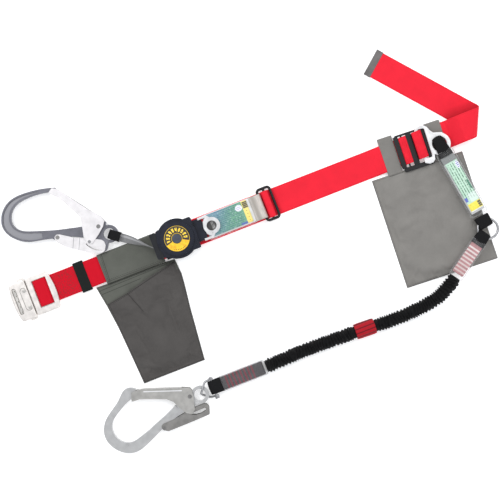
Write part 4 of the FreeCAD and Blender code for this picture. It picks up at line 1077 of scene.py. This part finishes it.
def label_ring_paint():
    """A generic printed ring: a dark arc with block marks and a yellow arc."""
    paint = Paint("reel_label", Roughness=0.32, Coat_Weight=0.4)
    spot, x, y = paint.ground(REEL, math.radians(263.7))
    radius = (x * x + y * y).root()
    angle = paint.math("ARCTAN2", y, x)
    spread = abs(angle)
    yellow_arc = spread.ramp(1.2, 1.17)
    yellow, orange = (0.93, 0.6, 0.02), (0.82, 0.36, 0.01)
    grain = paint.noise(spot, 5, 3.0)
    gold = paint.mix(grain.ramp(0.35, 0.7), yellow, orange)
    dark = paint.mix(grain, (0.012, 0.010, 0.014), (0.035, 0.028, 0.032))
    base = paint.mix(yellow_arc, dark, gold)
    turns = angle.wave(2 * math.pi / 17, 0.6)
    lumps = paint.noise(paint.node_vector(angle * 7.0, radius * 0.35), 1.0, 1.0)
    marks = turns.ramp(-0.35, -0.15) * lumps.ramp(0.36, 0.42)
    marks = marks * radius.inside(12.5, 19.5, 0.25)
    marks = marks * spread.ramp(1.34, 1.38)
    base = paint.mix(marks, base, (0.95, 0.66, 0.05))
    dots = angle.wave(0.16).ramp(0.1, 0.3) * radius.inside(19.4, 21.0, 0.2)
    dots = dots * spread.ramp(0.75, 0.7)
    base = paint.mix(dots, base, (0.10, 0.05, 0.01))
    rims = radius.inside(22.3, 22.9, 0.15).larger(radius.inside(9.3, 10.0, 0.15))
    base = paint.mix(rims, base, yellow)
    paint.colour(base)
    paint.bump(marks + grain * 0.3, 0.25, 0.15)
    return paint.material


EYELET, EYELET_R, EYELET_Z = (-48.5, 66.5), 9.6, 24.42


def make_eye_backing():
    """What shows through the bracket's eyelet: the ribbed strap under it."""
    paint = Paint("eyelet_ribs", Roughness=0.45)
    spot, x, _ = paint.ground(EYELET)
    ribs = x.wave(2.6)
    fine = paint.noise(spot, 1.2, 3.0, stretch=(1.0, 0.2, 1.0))
    glow = x.inside(0.5, 6.0, 1.6) * fine.ramp(0.35, 0.65)
    base = paint.mix(glow, (0.035, 0.033, 0.034), (0.42, 0.42, 0.42))
    paint.colour(base)
    paint.bump(ribs, 0.6, 0.4)
    work = bmesh.new()
    bmesh.ops.create_circle(work, cap_ends=True, radius=EYELET_R, segments=48)
    bmesh.ops.inset_region(work, faces=work.faces, thickness=1.2, depth=0.25)
    verts = [(EYELET[0] + v.co.x, EYELET[1] + v.co.y, EYELET_Z + abs(v.co.z))
             for v in work.verts]
    faces = [tuple(v.index for v in f.verts) for f in work.faces]
    work.free()
    add_piece("eyelet_backing", verts, faces, paint.material, "belt")


# ---------------------------------------------------------------- absorber A

def text_rows(paint, x, y, pitch, length=2.2, fill=0.5):
    """Rows of short dashes, as unreadable as small print from a distance."""
    count = paint.math("DIVIDE", y, pitch)
    row, part = paint.math("FLOOR", count), paint.math("FRACT", count)
    strokes = paint.noise(paint.node_vector(x * (1 / length), row * 5.37), 1.0, 1.0)
    dash = strokes.ramp(fill, fill + 0.04)
    return dash * part.inside(0.28, 0.62, 0.05)


def make_absorber_a():
    dull = Paint("absorber_a_strap", Roughness=0.5, Sheen_Weight=0.2)
    spot, x, y = dull.ground((-10, 66))
    height = y.wave(1.2) + x.wave(2.4) * 0.5
    cloud = dull.noise(spot, 8, 3.0)
    dull.colour(dull.mix(cloud, (0.52, 0.53, 0.53), (0.82, 0.83, 0.84)))
    dull.bump(height, 0.35, 0.3)

    def packed(p):
        lift = 0.5 * noise.noise(Vector((p.x * 0.08, p.y * 0.1, 1.0)))
        return Vector((p.x, p.y, p.z + lift)) if p.z > 14 else p

    soft_case("absorber_a_folds", (-59.4, 30.5), (44.6, 89.2), (6.0, 21.6), 2.4,
              dull.material, "belt", cuts=30, swell=packed, replaces=["absorber_a_pack"])
    make_label_a()
    make_end_wedge()
    clear = vinyl_paint("absorber_a_vinyl", (0.74, 0.76, 0.76), 0.04, 0.38)

    def wrinkled(p):
        a = noise.noise(Vector((p.x * 0.05, p.y * 0.09, 4.0)))
        b = noise.noise(Vector((p.x * 0.16, p.y * 0.05, 8.0)))
        top = smooth_step((p.z - 12) / 10)
        z = p.z + top * (0.45 * a + 0.25 * b)
        side = 0.8 * noise.noise(Vector((p.x * 0.07, 3.0, p.z * 0.1)))
        y = p.y + side * (1 if p.y > BELT_Y else -1) * smooth_step(abs(p.y - BELT_Y) - 22)
        return Vector((p.x, y, z))

    soft_case("absorber_a_sleeve", (-61.0, 32.4), (42.6, 91.4), (4.4, 23.6), 3.2, clear,
              "belt", cuts=34, swell=wrinkled, replaces=["absorber_a_cover"])


def make_label_a():
    """Printed card under the vinyl, with generic marks."""
    paint = Paint("absorber_a_print", Roughness=0.35, Coat_Weight=0.3)
    spot, x, y = paint.ground((-20, 67.5))
    cloud = paint.noise(spot, 9, 3.0)
    green = paint.mix(cloud, (0.07, 0.27, 0.16), (0.19, 0.42, 0.29))
    blue = paint.mix(cloud, (0.08, 0.20, 0.27), (0.20, 0.36, 0.44))
    base = paint.mix((x + y * -0.5).ramp(12, -22), green, blue)
    rows = text_rows(paint, x, y, 3.4, 1.6, 0.44)
    rows = rows * x.inside(-18, 30, 1.0)
    base = paint.mix(rows * 0.8, base, (0.03, 0.07, 0.2))
    light = text_rows(paint, x + 40, y + 1.7, 5.1, 2.6, 0.56)
    base = paint.mix(light * 0.35, base, (0.6, 0.74, 0.76))
    dx, dy = x - 28.0, y - 10.5
    disc = (dx * dx + dy * dy * 1.25).root()
    base = paint.mix(disc.ramp(6.6, 6.2), base, (0.86, 0.86, 0.95))
    bars = text_rows(paint, dx, dy, 3.0, 1.5, 0.42) * disc.ramp(5.4, 5.0)
    base = paint.mix(bars, base, (0.30, 0.26, 0.62))
    corner = x.ramp(22.5, 23.5) * y.ramp(-16.5, -17.5)
    base = paint.mix(corner, base, (0.08, 0.14, 0.42))
    strip_at = x.inside(35.2, 46.2, 0.2)
    yellow = paint.mix(cloud, (0.80, 0.62, 0.08), (0.95, 0.82, 0.30))
    base = paint.mix(strip_at, base, yellow)
    box_at = x.inside(36.4, 45.4, 0.2) * y.inside(6.5, 18.5, 0.2)
    lines = y.wave(3.0).ramp(0.45, 0.6)
    base = paint.mix(box_at, base, (0.05, 0.05, 0.03))
    base = paint.mix(box_at * lines * 0.7, base, (0.62, 0.5, 0.16))
    spots = x.inside(39.5, 41.5, 0.2) * y.wave(6.0).ramp(0.85, 0.93)
    base = paint.mix(spots * y.ramp(4, 3), base, (0.35, 0.2, 0.02))
    paint.colour(base)
    paint.bump(cloud, 0.15, 0.4)

    def lift(x, y):
        return 22.35 + 0.35 * noise.noise(Vector((x * 0.05, y * 0.08, 2.0)))

    outline = [(-57, 46.5), (24.5, 46.5), (25.5, 47.5), (25.5, 87), (24.5, 88), (-57, 88)]
    thicken(patch("absorber_a_label", outline, 3.0, lift, paint.material, "belt"), 0.25)


def make_end_wedge():
    """The glossy folded end that tapers from the absorber down to the tri-glide."""
    paint = Paint("absorber_a_wedge", Roughness=0.32, Metallic=0.2, Coat_Weight=0.2)
    spot = paint.strip()
    ribs = paint.noise(spot, 2.2, 4.0, stretch=(2.2, 0.12, 1.0))
    base = paint.mix(ribs.ramp(0.3, 0.7), (0.34, 0.31, 0.28), (0.58, 0.54, 0.5))
    x, _, _ = paint.split(paint.place((0, 0)))
    dark = x.inside(36.5, 40.5, 3.4) * ribs.ramp(0.15, 0.55)
    base = paint.mix(dark * 0.8, base, (0.11, 0.1, 0.075))
    paint.colour(base)
    paint.bump(ribs, 0.5, 0.5)
    path = rounded([(27.5, 66.6, 8.6), (27.5, 66.6, 20.4), (38, 66.6, 20.0),
                    (51.5, 66.6, 14.2), (53.2, 66.6, 7.6), (49, 66.6, 4.2), (27.5, 66.6, 7.4)],
                   [2.5, 6, 3.5, 3.5, 2.5], 0.9, 2.0)
    strip("absorber_a_fold", stations_along(path[::-1], ALONG_Y, 45.5), 1.2, paint.material,
          "belt", 12, 0.25, ["absorber_a_end_loop"])


def make_tri_glide():
    gloss = plastic_paint("tri_glide_black", (0.005, 0.005, 0.006), 0.28, 1.1)
    refined("tri_glide", 0.3, gloss)


# ---------------------------------------------------------------- lanyard A

BIGHT_LANES = 12


def bight(name, origin, turn, nose, tail, z0, z1, width, tail_width, thickness, material,
          body, replaces, crown):
    """A loop of webbing round a rim: from its tail, round its nose, and back."""
    route = rounded([(tail, 0, z0 + thickness / 2), (nose + thickness / 2, 0, z0 + thickness / 2),
                     (nose + thickness / 2, 0, z1 - thickness / 2),
                     (tail, 0, z1 - thickness / 2)], (z1 - z0 - thickness) / 2 * 0.98, 0.8, 1.6)
    side = Vector((-math.sin(turn), math.cos(turn), 0))
    line = []
    for p in route:
        x, y = turned(p.x, 0, origin, turn)
        line.append(Vector((x, y, p.z)))
    reach = [abs(p.x - nose) / (tail - nose) for p in route]
    stations = []
    for station, far in zip(stations_along(line, side, width), reach):
        spot, half, normal, along, shear = station
        half = half * (1 + (tail_width / width - 1) * smooth_step(far))
        stations.append((spot, half, normal, along, shear))
    strip(name, stations[::-1], thickness, material, body, BIGHT_LANES, crown, replaces)


def make_strap_a():
    grey = Paint("strap_a_grey", Roughness=0.6, Sheen_Weight=0.2)
    spot, along, across = grey.woven()
    ribs, ends = along.wave(1.1), across.wave(1.3)
    height = ribs * ends * 0.6 + ribs * 0.3
    fibre = grey.noise(spot, 0.6, 2.0, stretch=(0.3, 1.0, 1.0))
    base = grey.mix(fibre, (0.12, 0.12, 0.124), (0.24, 0.24, 0.245))
    stripe = across.inside(1.4, 5.2, 0.5)
    base = grey.mix(stripe * 0.8, base, (0.4, 0.4, 0.41))
    grey.colour(base)
    grey.bump(height + fibre, 0.5, 0.3)

    eye, guide = Vector((*HOOK_A_EYE, 0)), Vector((*GUIDE, 0))
    heading = (guide - eye).normalized()
    across_way = Vector((-heading.y, heading.x, 0))
    head = eye + heading * 18.5
    tail = guide + heading * 22.0
    stations = []
    count = 44
    run = (tail - head).length
    twist_run = (guide - head).length
    for i in range(count + 1):
        far = run * i / count
        ease = smooth_step(min(1.0, far / (twist_run * 0.96)))
        lean = math.pi / 2 * ease
        side = across_way * math.cos(lean) + UP * math.sin(lean)
        normal = UP * math.cos(lean) - across_way * math.sin(lean)
        curl = 1.2 * math.sin(math.pi * min(1.0, far / twist_run))
        spot = head + heading * far + UP * (9 + 16 * ease) + across_way * curl
        stations.append((spot, side * 7.7, normal, far, 0.0))
    strip("lanyard_a_strap", stations, 1.5, grey.material, "lanyard_a", 10, 0.0, ["strap_a"])
    black = webbing_paint("hook_sleeve_black", (0.004, 0.004, 0.005), 1.0, 1.3, depth=0.3)
    turn = math.atan2(heading.y, heading.x)
    bight("lanyard_a_sleeve", HOOK_A_EYE, turn, -1.3, 21.0, 1.2, 16.8, 17.0, 18.0, 2.0,
          black, "lanyard_a", ["strap_a_sleeve"], 0.6)


# ---------------------------------------------------------------- hooks

def lever_shade_and_stud(paint):
    """Painted shade in the two lines beside the lever's raised band, and the bare steel stud on the
    gate.
    """
    _, x, y = paint.ground(HOOK_A_EYE, HOOK_A_TURN)
    below = y.ramp(-9, -10)
    low, high = x.inside(-63.4, -62.6, 0.2), x.inside(-52.4, -51.6, 0.2)
    # Painted shade along the band's edges.
    band_edge_shade = low.larger(high) * below
    dx, dy = x - -34.0, y - -17.2
    radius = (dx * dx + dy * dy).root()
    stud = radius.ramp(3.1, 2.7)
    return band_edge_shade.larger(stud), (0.24, 0.24, 0.25)


def track_highlight_mask(paint):
    """Painted highlight on the sunk track that runs round the hook's bar, paler where its walls
    catch the light.
    """
    _, _, z = paint.split(paint.place())
    return z.inside(11.0, 12.3, 0.3), (0.25, 0.25, 0.27)


def gate_edge_highlight(paint):
    """A painted highlight along the line where the gate's edge is pressed over."""
    _, x, y = paint.ground(HOOK_B_EYE, HOOK_B_TURN)
    mask = near_line(x, y, (-90, 49.5), (-26, 21.5), 0.7, 0.4)
    return mask, (0.86, 0.86, 0.87)


def make_hooks():
    # Grey body, with a painted highlight on its sunk track.
    body_a = metal_paint("hook_a_grey", (0.15, 0.15, 0.172), 0.4, (0.08, 1.0, 1.0), 0.7,
                         HOOK_A_TURN, extra=track_highlight_mask)
    # White gate and lever, with painted shade lines on the lever.
    white = metal_paint("hook_a_white", (0.69, 0.67, 0.68), 0.36, (0.08, 1.0, 1.0), 0.25,
                        HOOK_A_TURN, extra=lever_shade_and_stud, blotch=0.93)
    pin = metal_paint("hook_pin", (0.26, 0.255, 0.25), 0.28, (1.0, 1.0, 1.0), 0.9)
    refine(("hook_a_body", 0.9, body_a, 3), ("hook_a_gate", 0.45, white),
           ("hook_a_lever", 0.45, white), ("hook_a_pins", 0.6, pin, 3))
    dress("hook_a_gate_spring", pin)

    body_b = metal_paint("hook_b_silver", (0.54, 0.54, 0.54), 0.33, (0.08, 1.0, 1.0), 0.8,
                         HOOK_B_TURN, blotch=0.94)
    # Silver gate, with a painted highlight along its pressed edge.
    gate_b = metal_paint("hook_b_gate_silver", (0.46, 0.45, 0.43), 0.36, (0.08, 1.0, 1.0),
                         0.75, HOOK_B_TURN, extra=gate_edge_highlight)
    lever_b = metal_paint("hook_b_lever_silver", (0.27, 0.262, 0.252), 0.38, (0.08, 1.0, 1.0),
                          0.75, HOOK_B_TURN)
    refine(("hook_b_body", 0.9, body_b, 3), ("hook_b_gate", 0.45, gate_b),
           ("hook_b_lever", 0.45, lever_b), ("hook_b_pins", 0.6, pin, 3))
    dress("hook_b_gate_spring", pin)
    ring = metal_paint("ring_steel", (0.40, 0.40, 0.41), 0.26, (1.0, 1.0, 1.0), 0.95)
    dress("connector_ring", ring)
    shackle = metal_paint("shackle_steel", (0.40, 0.40, 0.41), 0.28, (1.0, 1.0, 1.0), 0.9)
    refined("shackle", 0.3, shackle)
    refined("shackle_pin", 0.4, shackle, 2)


# ---------------------------------------------------------------- retainer and D-ring

def bulge(name, x0, x1, y0, y1, foot, top, material):
    """Belt pushed up through a slot: a soft arch, lower at its sides and ends."""
    lean = -math.tan(PANEL_TURN)
    corners = [(x0, y0), (x1, y0), (x1, y1), (x0, y1)]
    outline = [(x + lean * (y - BELT_Y), y) for x, y in corners]

    def height(x, y):
        u = 2 * (x - lean * (y - BELT_Y) - x0) / (x1 - x0) - 1
        v = 2 * (y - y0) / (y1 - y0) - 1
        side = math.sqrt(max(0.0, 1 - abs(u) ** 2.6))
        end = math.sqrt(max(0.0, 1 - abs(v) ** 8))
        crease = 0.3 * noise.noise(Vector((x * 0.05, y * 0.16, 2.0)))
        return foot + (top - foot + crease) * side * end

    thicken(patch(name, outline, 1.5, height, material, "belt"), 1.2)


def make_retainer():
    black = plastic_paint("retainer_black", (0.007, 0.007, 0.008), 0.5, 1.0, 0.2)
    refined("d_ring_retainer", 0.8, black, 3)
    white = metal_paint("d_ring_white", (0.72, 0.72, 0.73), 0.32, (0.08, 1.0, 1.0), 0.3)
    refined("d_ring", 0.35, white, 2)
    red = bpy.data.materials["belt_red_fold"]
    bulge("belt_bulge_left", 322.6, 336.4, 41.4, 91.6, 10.6, 14.2, red)
    bulge("belt_bulge_right", 348.0, 366.0, 41.4, 91.6, 17.0, 19.6, red)
    for number, (x0, x1) in enumerate(((59.4, 68.4), (82.6, 93.4), (112.0, 118.6))):
        soft_case("retainer_border_%d" % (number + 1), (x0, x1), (1.5, 61.5), (8.4, 12.0), 1.2,
                  black, "belt", PANEL_CORNER, PANEL_TURN, 10)


def make_belt_tip():
    grey = plastic_paint("belt_tip_grey", (0.112, 0.104, 0.102), 0.45)
    refined("belt_end_tip", 0.7, grey, 3)


# ---------------------------------------------------------------- absorber B

CASE_B_TOP = turned(14.6, 0, DRING_EYE, CASE_B_TURN)
CASE_B_LENGTH, CASE_B_HALF = 134.0, 16.5


def make_absorber_b():
    black = webbing_paint("lanyard_b_black", (0.004, 0.004, 0.005), 1.0, 1.3, depth=0.35)
    silver = Paint("absorber_b_strap", Roughness=0.5)
    spot, x, y = silver.ground(CASE_B_TOP, CASE_B_TURN)
    cloud = silver.noise(spot, 6, 3.0)
    folds = y.wave(5.5).ramp(-0.4, 0.8)
    base = silver.mix(cloud, (0.42, 0.43, 0.43), (0.66, 0.67, 0.67))
    dark_end = x.ramp(25.5, 23.5)
    base = silver.mix(dark_end * 0.85, base, (0.16, 0.17, 0.17))
    silver.colour(base)
    silver.bump(folds, 0.4, 0.6)
    soft_case("absorber_b_folds", (11, CASE_B_LENGTH - 7), (-13.6, 13.6), (9.8, 19.6), 1.8,
              silver.material, "absorber_b", CASE_B_TOP, CASE_B_TURN, 22,
              replaces=["absorber_b_pack"])
    bight("absorber_b_eye_loop", DRING_EYE, CASE_B_TURN, -12.2, 26.0, 8.6, 18.8, 19.0, 26.0,
          2.0, black, "absorber_b", ["absorber_b_pack"], 2.4)
    back = CASE_B_TURN + math.pi
    bight("absorber_b_ring_loop", RING, back, 4.2, 26.0, 9.4, 18.8, 26.0, 26.5, 1.8, black,
          "absorber_b", ["absorber_b_pack"], 0.9)
    make_label_b()
    clear = vinyl_paint("absorber_b_vinyl", (0.66, 0.67, 0.67), 0.05, 0.55)

    def puffed(p):
        a = noise.noise(Vector((p.x * 0.06, p.y * 0.1, 6.0)))
        top = smooth_step((p.z - 14) / 6)
        return Vector((p.x, p.y + 0.3 * a, p.z + 0.5 * a * top))

    soft_case("absorber_b_case", (0.6, CASE_B_LENGTH - 0.6), (-CASE_B_HALF, CASE_B_HALF),
              (8.4, 22.0), 3.4, clear, "absorber_b", CASE_B_TOP, CASE_B_TURN, 32, puffed,
              ["absorber_b_cover"])


def make_label_b():
    paint = Paint("absorber_b_print", Roughness=0.35, Coat_Weight=0.3)
    spot, x, y = paint.ground(CASE_B_TOP, CASE_B_TURN)
    cloud = paint.noise(spot, 7, 3.0)
    base = paint.mix(cloud, (0.40, 0.66, 0.48), (0.64, 0.82, 0.71))
    rows = text_rows(paint, x, y, 4.6, 2.0, 0.42) * x.inside(27, 100, 1.0)
    base = paint.mix(rows * 0.95, base, (0.02, 0.14, 0.07))
    dx, dy = x - 33.5, y - 9.0
    oval = (dx * dx * 0.5 + dy * dy * 2.2).root()
    base = paint.mix(oval.ramp(5.6, 5.2), base, (0.9, 0.91, 0.96))
    bar = oval.ramp(4.4, 4.1) * x.wave(3.4).ramp(0.0, 0.2)
    base = paint.mix(bar, base, (0.14, 0.16, 0.52))
    green_bar = x.inside(66, 84, 0.3) * y.inside(8.2, 11.2, 0.2)
    base = paint.mix(green_bar, base, (0.04, 0.20, 0.12))
    blue = x.inside(95, 103, 0.3) * y.inside(-12, -7, 0.3)
    base = paint.mix(blue, base, (0.10, 0.14, 0.55))
    pale = x.inside(90, 106, 0.4) * y.inside(-3, 12, 0.4)
    base = paint.mix(pale * 0.5, base, (0.86, 0.93, 0.92))
    yellow = paint.mix(cloud, (0.85, 0.70, 0.03), (0.98, 0.86, 0.12))
    base = paint.mix(x.inside(107.5, 121.5, 0.2), base, yellow)
    dark = x.inside(108.5, 120, 0.2) * y.inside(6.2, 12.0, 0.2)
    base = paint.mix(dark, base, (0.05, 0.045, 0.03))
    lines = dark * x.wave(4.0).ramp(0.5, 0.7)
    base = paint.mix(lines * 0.6, base, (0.8, 0.66, 0.1))
    words = text_rows(paint, y, x, 4.2, 1.8, 0.55) * x.inside(109, 120, 0.3)
    base = paint.mix(words * y.ramp(4.5, 4.0) * 0.6, base, (0.35, 0.22, 0.01))
    base = paint.mix(x.ramp(121.4, 121.8), base, (0.88, 0.89, 0.88))
    paint.colour(base)
    paint.bump(cloud, 0.12, 0.3)
    outline = [turned(x, y, CASE_B_TOP, CASE_B_TURN) for x, y in
               ((24, -11.8), (123.5, -11.8), (123.5, 12.4), (24, 12.4))]

    def lift(x, y):
        return 20.4 + 0.25 * noise.noise(Vector((x * 0.07, y * 0.07, 1.0)))

    thicken(patch("absorber_b_label", outline, 3.0, lift, paint.material, "absorber_b"), 0.25)


# ---------------------------------------------------------------- lanyard B

def ribbed_paint(name, origin, turn, first, last, pitch, colours, ground):
    """Bar-tacked webbing: rows of dense stitches across it."""
    paint = Paint(name, Roughness=0.6, Sheen_Weight=0.2)
    spot, x, y = paint.ground(origin, turn)
    rows = (x - first).wave(pitch, -math.pi / 2)
    fuzz = paint.noise(spot, 1.3, 3.0, stretch=(0.5, 1.6, 1.0))
    zig = rows + fuzz * 0.9
    mask = zig.ramp(0.35, 0.85) * x.inside(first, last, 0.8)
    far = x.ramp(first, last)
    thread = paint.mix(far, colours[0], colours[1])
    weave = x.wave(1.1) * y.wave(1.2)
    cloud = paint.noise(spot, 7, 3.0)
    field = paint.mix(cloud.ramp(0.3, 0.7), shade(ground, 0.85), shade(ground, 1.12))
    paint.colour(paint.mix(mask, field, thread))
    paint.bump(mask * 1.5 + weave * 0.3 + fuzz, 0.6, 0.5)
    return paint.material


def make_lanyard_b():
    black = bpy.data.materials["lanyard_b_black"]
    bight("lanyard_b_ring_loop", RING, COVER_B_TURN, 8.6, 36.0, 9.7, 18.3, 23.5, 25.0, 1.6,
          black, "lanyard_b", ["lanyard_b_upper_webbing"], 0.7)
    pink = ribbed_paint("upper_bartacks", RING, COVER_B_TURN, 41, 95, 7.0,
                        ((0.82, 0.74, 0.72), (0.66, 0.52, 0.50)), (0.50, 0.23, 0.24))
    soft_case("lanyard_b_upper_stitching", (34, 99), (-11.0, 11.0), (9.9, 17.6), 1.6, pink,
              "lanyard_b", RING, COVER_B_TURN, 22)
    clear = vinyl_paint("lanyard_b_vinyl", (0.62, 0.62, 0.63), 0.10, 0.6)

    def wavy(p):
        a = noise.noise(Vector((p.x * 0.09, p.y * 0.1, 2.0)))
        return Vector((p.x, p.y + 0.5 * a, p.z + 0.35 * a * smooth_step((p.z - 12) / 5)))

    soft_case("lanyard_b_upper_sleeve", (26.4, 106.2), (-13.6, 13.6), (8.7, 19.2), 2.4, clear,
              "lanyard_b", RING, COVER_B_TURN, 26, wavy, ["lanyard_b_upper_cover"])
    smoky = vinyl_paint("lanyard_b_smoky_vinyl", (0.20, 0.20, 0.21), 0.22, 0.3)
    red = ribbed_paint("lower_bartacks", (0, LOWER_Y), 0.0, -129, -71, 7.2,
                       ((0.20, 0.015, 0.03), (0.20, 0.02, 0.035)), (0.055, 0.048, 0.052))
    soft_case("lanyard_b_lower_stitching", (-138.6, -54), (LOWER_Y - 12.4, LOWER_Y + 12.4),
              (4.8, 15.0), 2.0, red, "lanyard_b", cuts=24)
    soft_case("lanyard_b_lower_sleeve", (-139.2, -50.6), (LOWER_Y - 14.2, LOWER_Y + 14.2),
              (3.5, 16.5), 3.0, smoky, "lanyard_b", cuts=28, swell=wavy,
              replaces=["lanyard_b_lower_cover"])
    bight("lanyard_b_hook_loop", (0, LOWER_Y), 0.0, -160.4, -136.0, 2.3, 17.7, 24.5, 25.5,
          1.8, black, "lanyard_b", ["lanyard_b_lower_webbing"], 0.8)
    make_tag()


TAG_ENDS = Vector((161.5, -210.6, 11.0)), Vector((124.5, -209.1, 11.0))
TAG_RADIUS, TAG_RIDGE, TAG_FLOOR = 13.3, 0.45, 1.4


def make_tag():
    """The red wrap on the bungee, with its three sewn ridges."""
    paint = Paint("tag_red", Roughness=0.7, Specular_IOR_Level=0.15)
    spot, _, y = paint.ground((0, 0))
    fuzz = paint.noise(spot, 1.0, 3.0)
    rows = y.wave(7.6, 0.9).ramp(0.55, 0.9)
    base = paint.mix(fuzz, (0.27, 0.005, 0.010), (0.46, 0.011, 0.022))
    paint.colour(paint.mix(rows * 0.8, base, (0.05, 0.008, 0.012)))
    paint.bump(rows * -1.0 + fuzz, 0.6, 0.6)
    start, end = TAG_ENDS
    heading = (end - start).normalized()
    side = UP.cross(heading).normalized()
    verts, faces = [], []
    rings, lanes = 26, 36
    for i in range(rings + 1):
        t = i / rings
        lip = 1 - 0.05 * (smooth_step(1 - t * 8) + smooth_step(1 - (1 - t) * 8))
        for k in range(lanes + 1):
            angle = math.radians(-28 + 236 * k / lanes)
            r = (TAG_RADIUS + TAG_RIDGE * math.cos(3.2 * (angle - math.pi / 2))) * lip
            v = start.lerp(end, t) + side * (r * math.cos(angle)) + UP * (r * math.sin(angle))
            verts.append((v.x, v.y, max(v.z, TAG_FLOOR)))
    for i in range(rings):
        for k in range(lanes):
            a, b = i * (lanes + 1) + k, (i + 1) * (lanes + 1) + k
            faces.append((a, a + 1, b + 1, b))
    tag = add_piece("bungee_tag", verts, faces, paint.material, "lanyard_b", None,
                    ["lanyard_b_tag"])
    thicken(tag, 0.9, -1.0)


def route_points():
    """Points along the bungee's middle line, read from its smooth curve."""
    data = bpy.data.curves.new("bungee_route", "CURVE")
    data.dimensions = "3D"
    line = data.splines.new("NURBS")
    line.points.add(len(CORD_ROUTE) - 1)
    for point, spot in zip(line.points, CORD_ROUTE):
        point.co = *at(*spot), 1
    line.order_u = 3
    line.use_endpoint_u = True
    line.resolution_u = 24
    route = bpy.data.objects.new("bungee_route", data)
    mesh = bpy.data.meshes.new_from_object(route)
    points = [v.co.copy() for v in mesh.vertices]
    bpy.data.objects.remove(route)
    bpy.data.meshes.remove(mesh)
    return points


def even(points, step):
    """The same line with points at even distances."""
    total = distances(points)
    count = max(2, round(total[-1] / step))
    line, k = [], 0
    for i in range(count + 1):
        want = total[-1] * i / count
        while k < len(total) - 2 and total[k + 1] < want:
            k += 1
        part = (want - total[k]) / (total[k + 1] - total[k])
        line.append(points[k].lerp(points[k + 1], part))
    return line, total[-1]


TAG_ALONG = 174.0, 213.0
RUFFLE_PITCH = 5.4
CORE_R, GATHER_R = 10.4, 13.2
CORD_RING, CORD_STEP, CORD_FLOOR = 40, 0.75, 0.35


def ruffle(along, angle, length):
    """Radius of the gathered sleeve, in millimetres."""
    drift = 1.1 * math.sin(angle + along * 0.06) + 0.8 * math.sin(2 * angle - along * 0.11 + 1)
    drift += 1.3 * noise.noise(Vector((along * 0.09, math.cos(angle), math.sin(angle))))
    fold = math.sin(math.pi * along / RUFFLE_PITCH + drift)
    swell = noise.noise(Vector((along * 0.16, 2 * math.cos(angle), 2 * math.sin(angle) + 7)))
    crest = 1 - abs(fold) ** 1.5
    radius = GATHER_R - 3.4 * (1 - crest) + 1.6 * swell
    ends = smooth_step(min(along, length - along) / 9)
    grip = 1 - smooth_step(1 - min(abs(along - TAG_ALONG[0]), abs(along - TAG_ALONG[1])) / 8)
    if TAG_ALONG[0] < along < TAG_ALONG[1]:
        grip = 0.0
    free = ends * grip
    return CORE_R + (radius - CORE_R) * (0.25 + 0.75 * free)


def make_cord():
    points, length = even(route_points(), CORD_STEP * MM)
    verts, uvs = [], []
    for i, spot in enumerate(points):
        ahead = heading_at(points, i)
        side = UP.cross(ahead).normalized()
        top = ahead.cross(side).normalized()
        along = length * i / (len(points) - 1) / MM
        for k in range(CORD_RING):
            angle = 2 * math.pi * k / CORD_RING
            r = ruffle(along, angle, length / MM) * MM
            v = spot + side * (r * math.cos(angle)) + top * (r * math.sin(angle))
            v.z = max(v.z, CORD_FLOOR * MM)
            verts.append(v / MM - SHIFT)
            uvs.append((along * MM, angle * 11 * MM))
    faces = tube_faces(len(points), CORD_RING)
    black = webbing_paint("bungee_black", (0.0035, 0.0035, 0.004), 0.9, 1.1)
    bungee = add_piece("bungee", verts, faces, black, "lanyard_b", uvs, ["lanyard_b_cord"])
    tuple(points[0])


def main():
    make_stage()
    make_belt()
    make_buckle()
    make_left_pouch()
    make_right_pouch()
    make_reel()
    make_absorber_a()
    make_tri_glide()
    make_strap_a()
    make_hooks()
    make_retainer()
    make_belt_tip()
    make_absorber_b()
    make_lanyard_b()
    make_cord()


main()
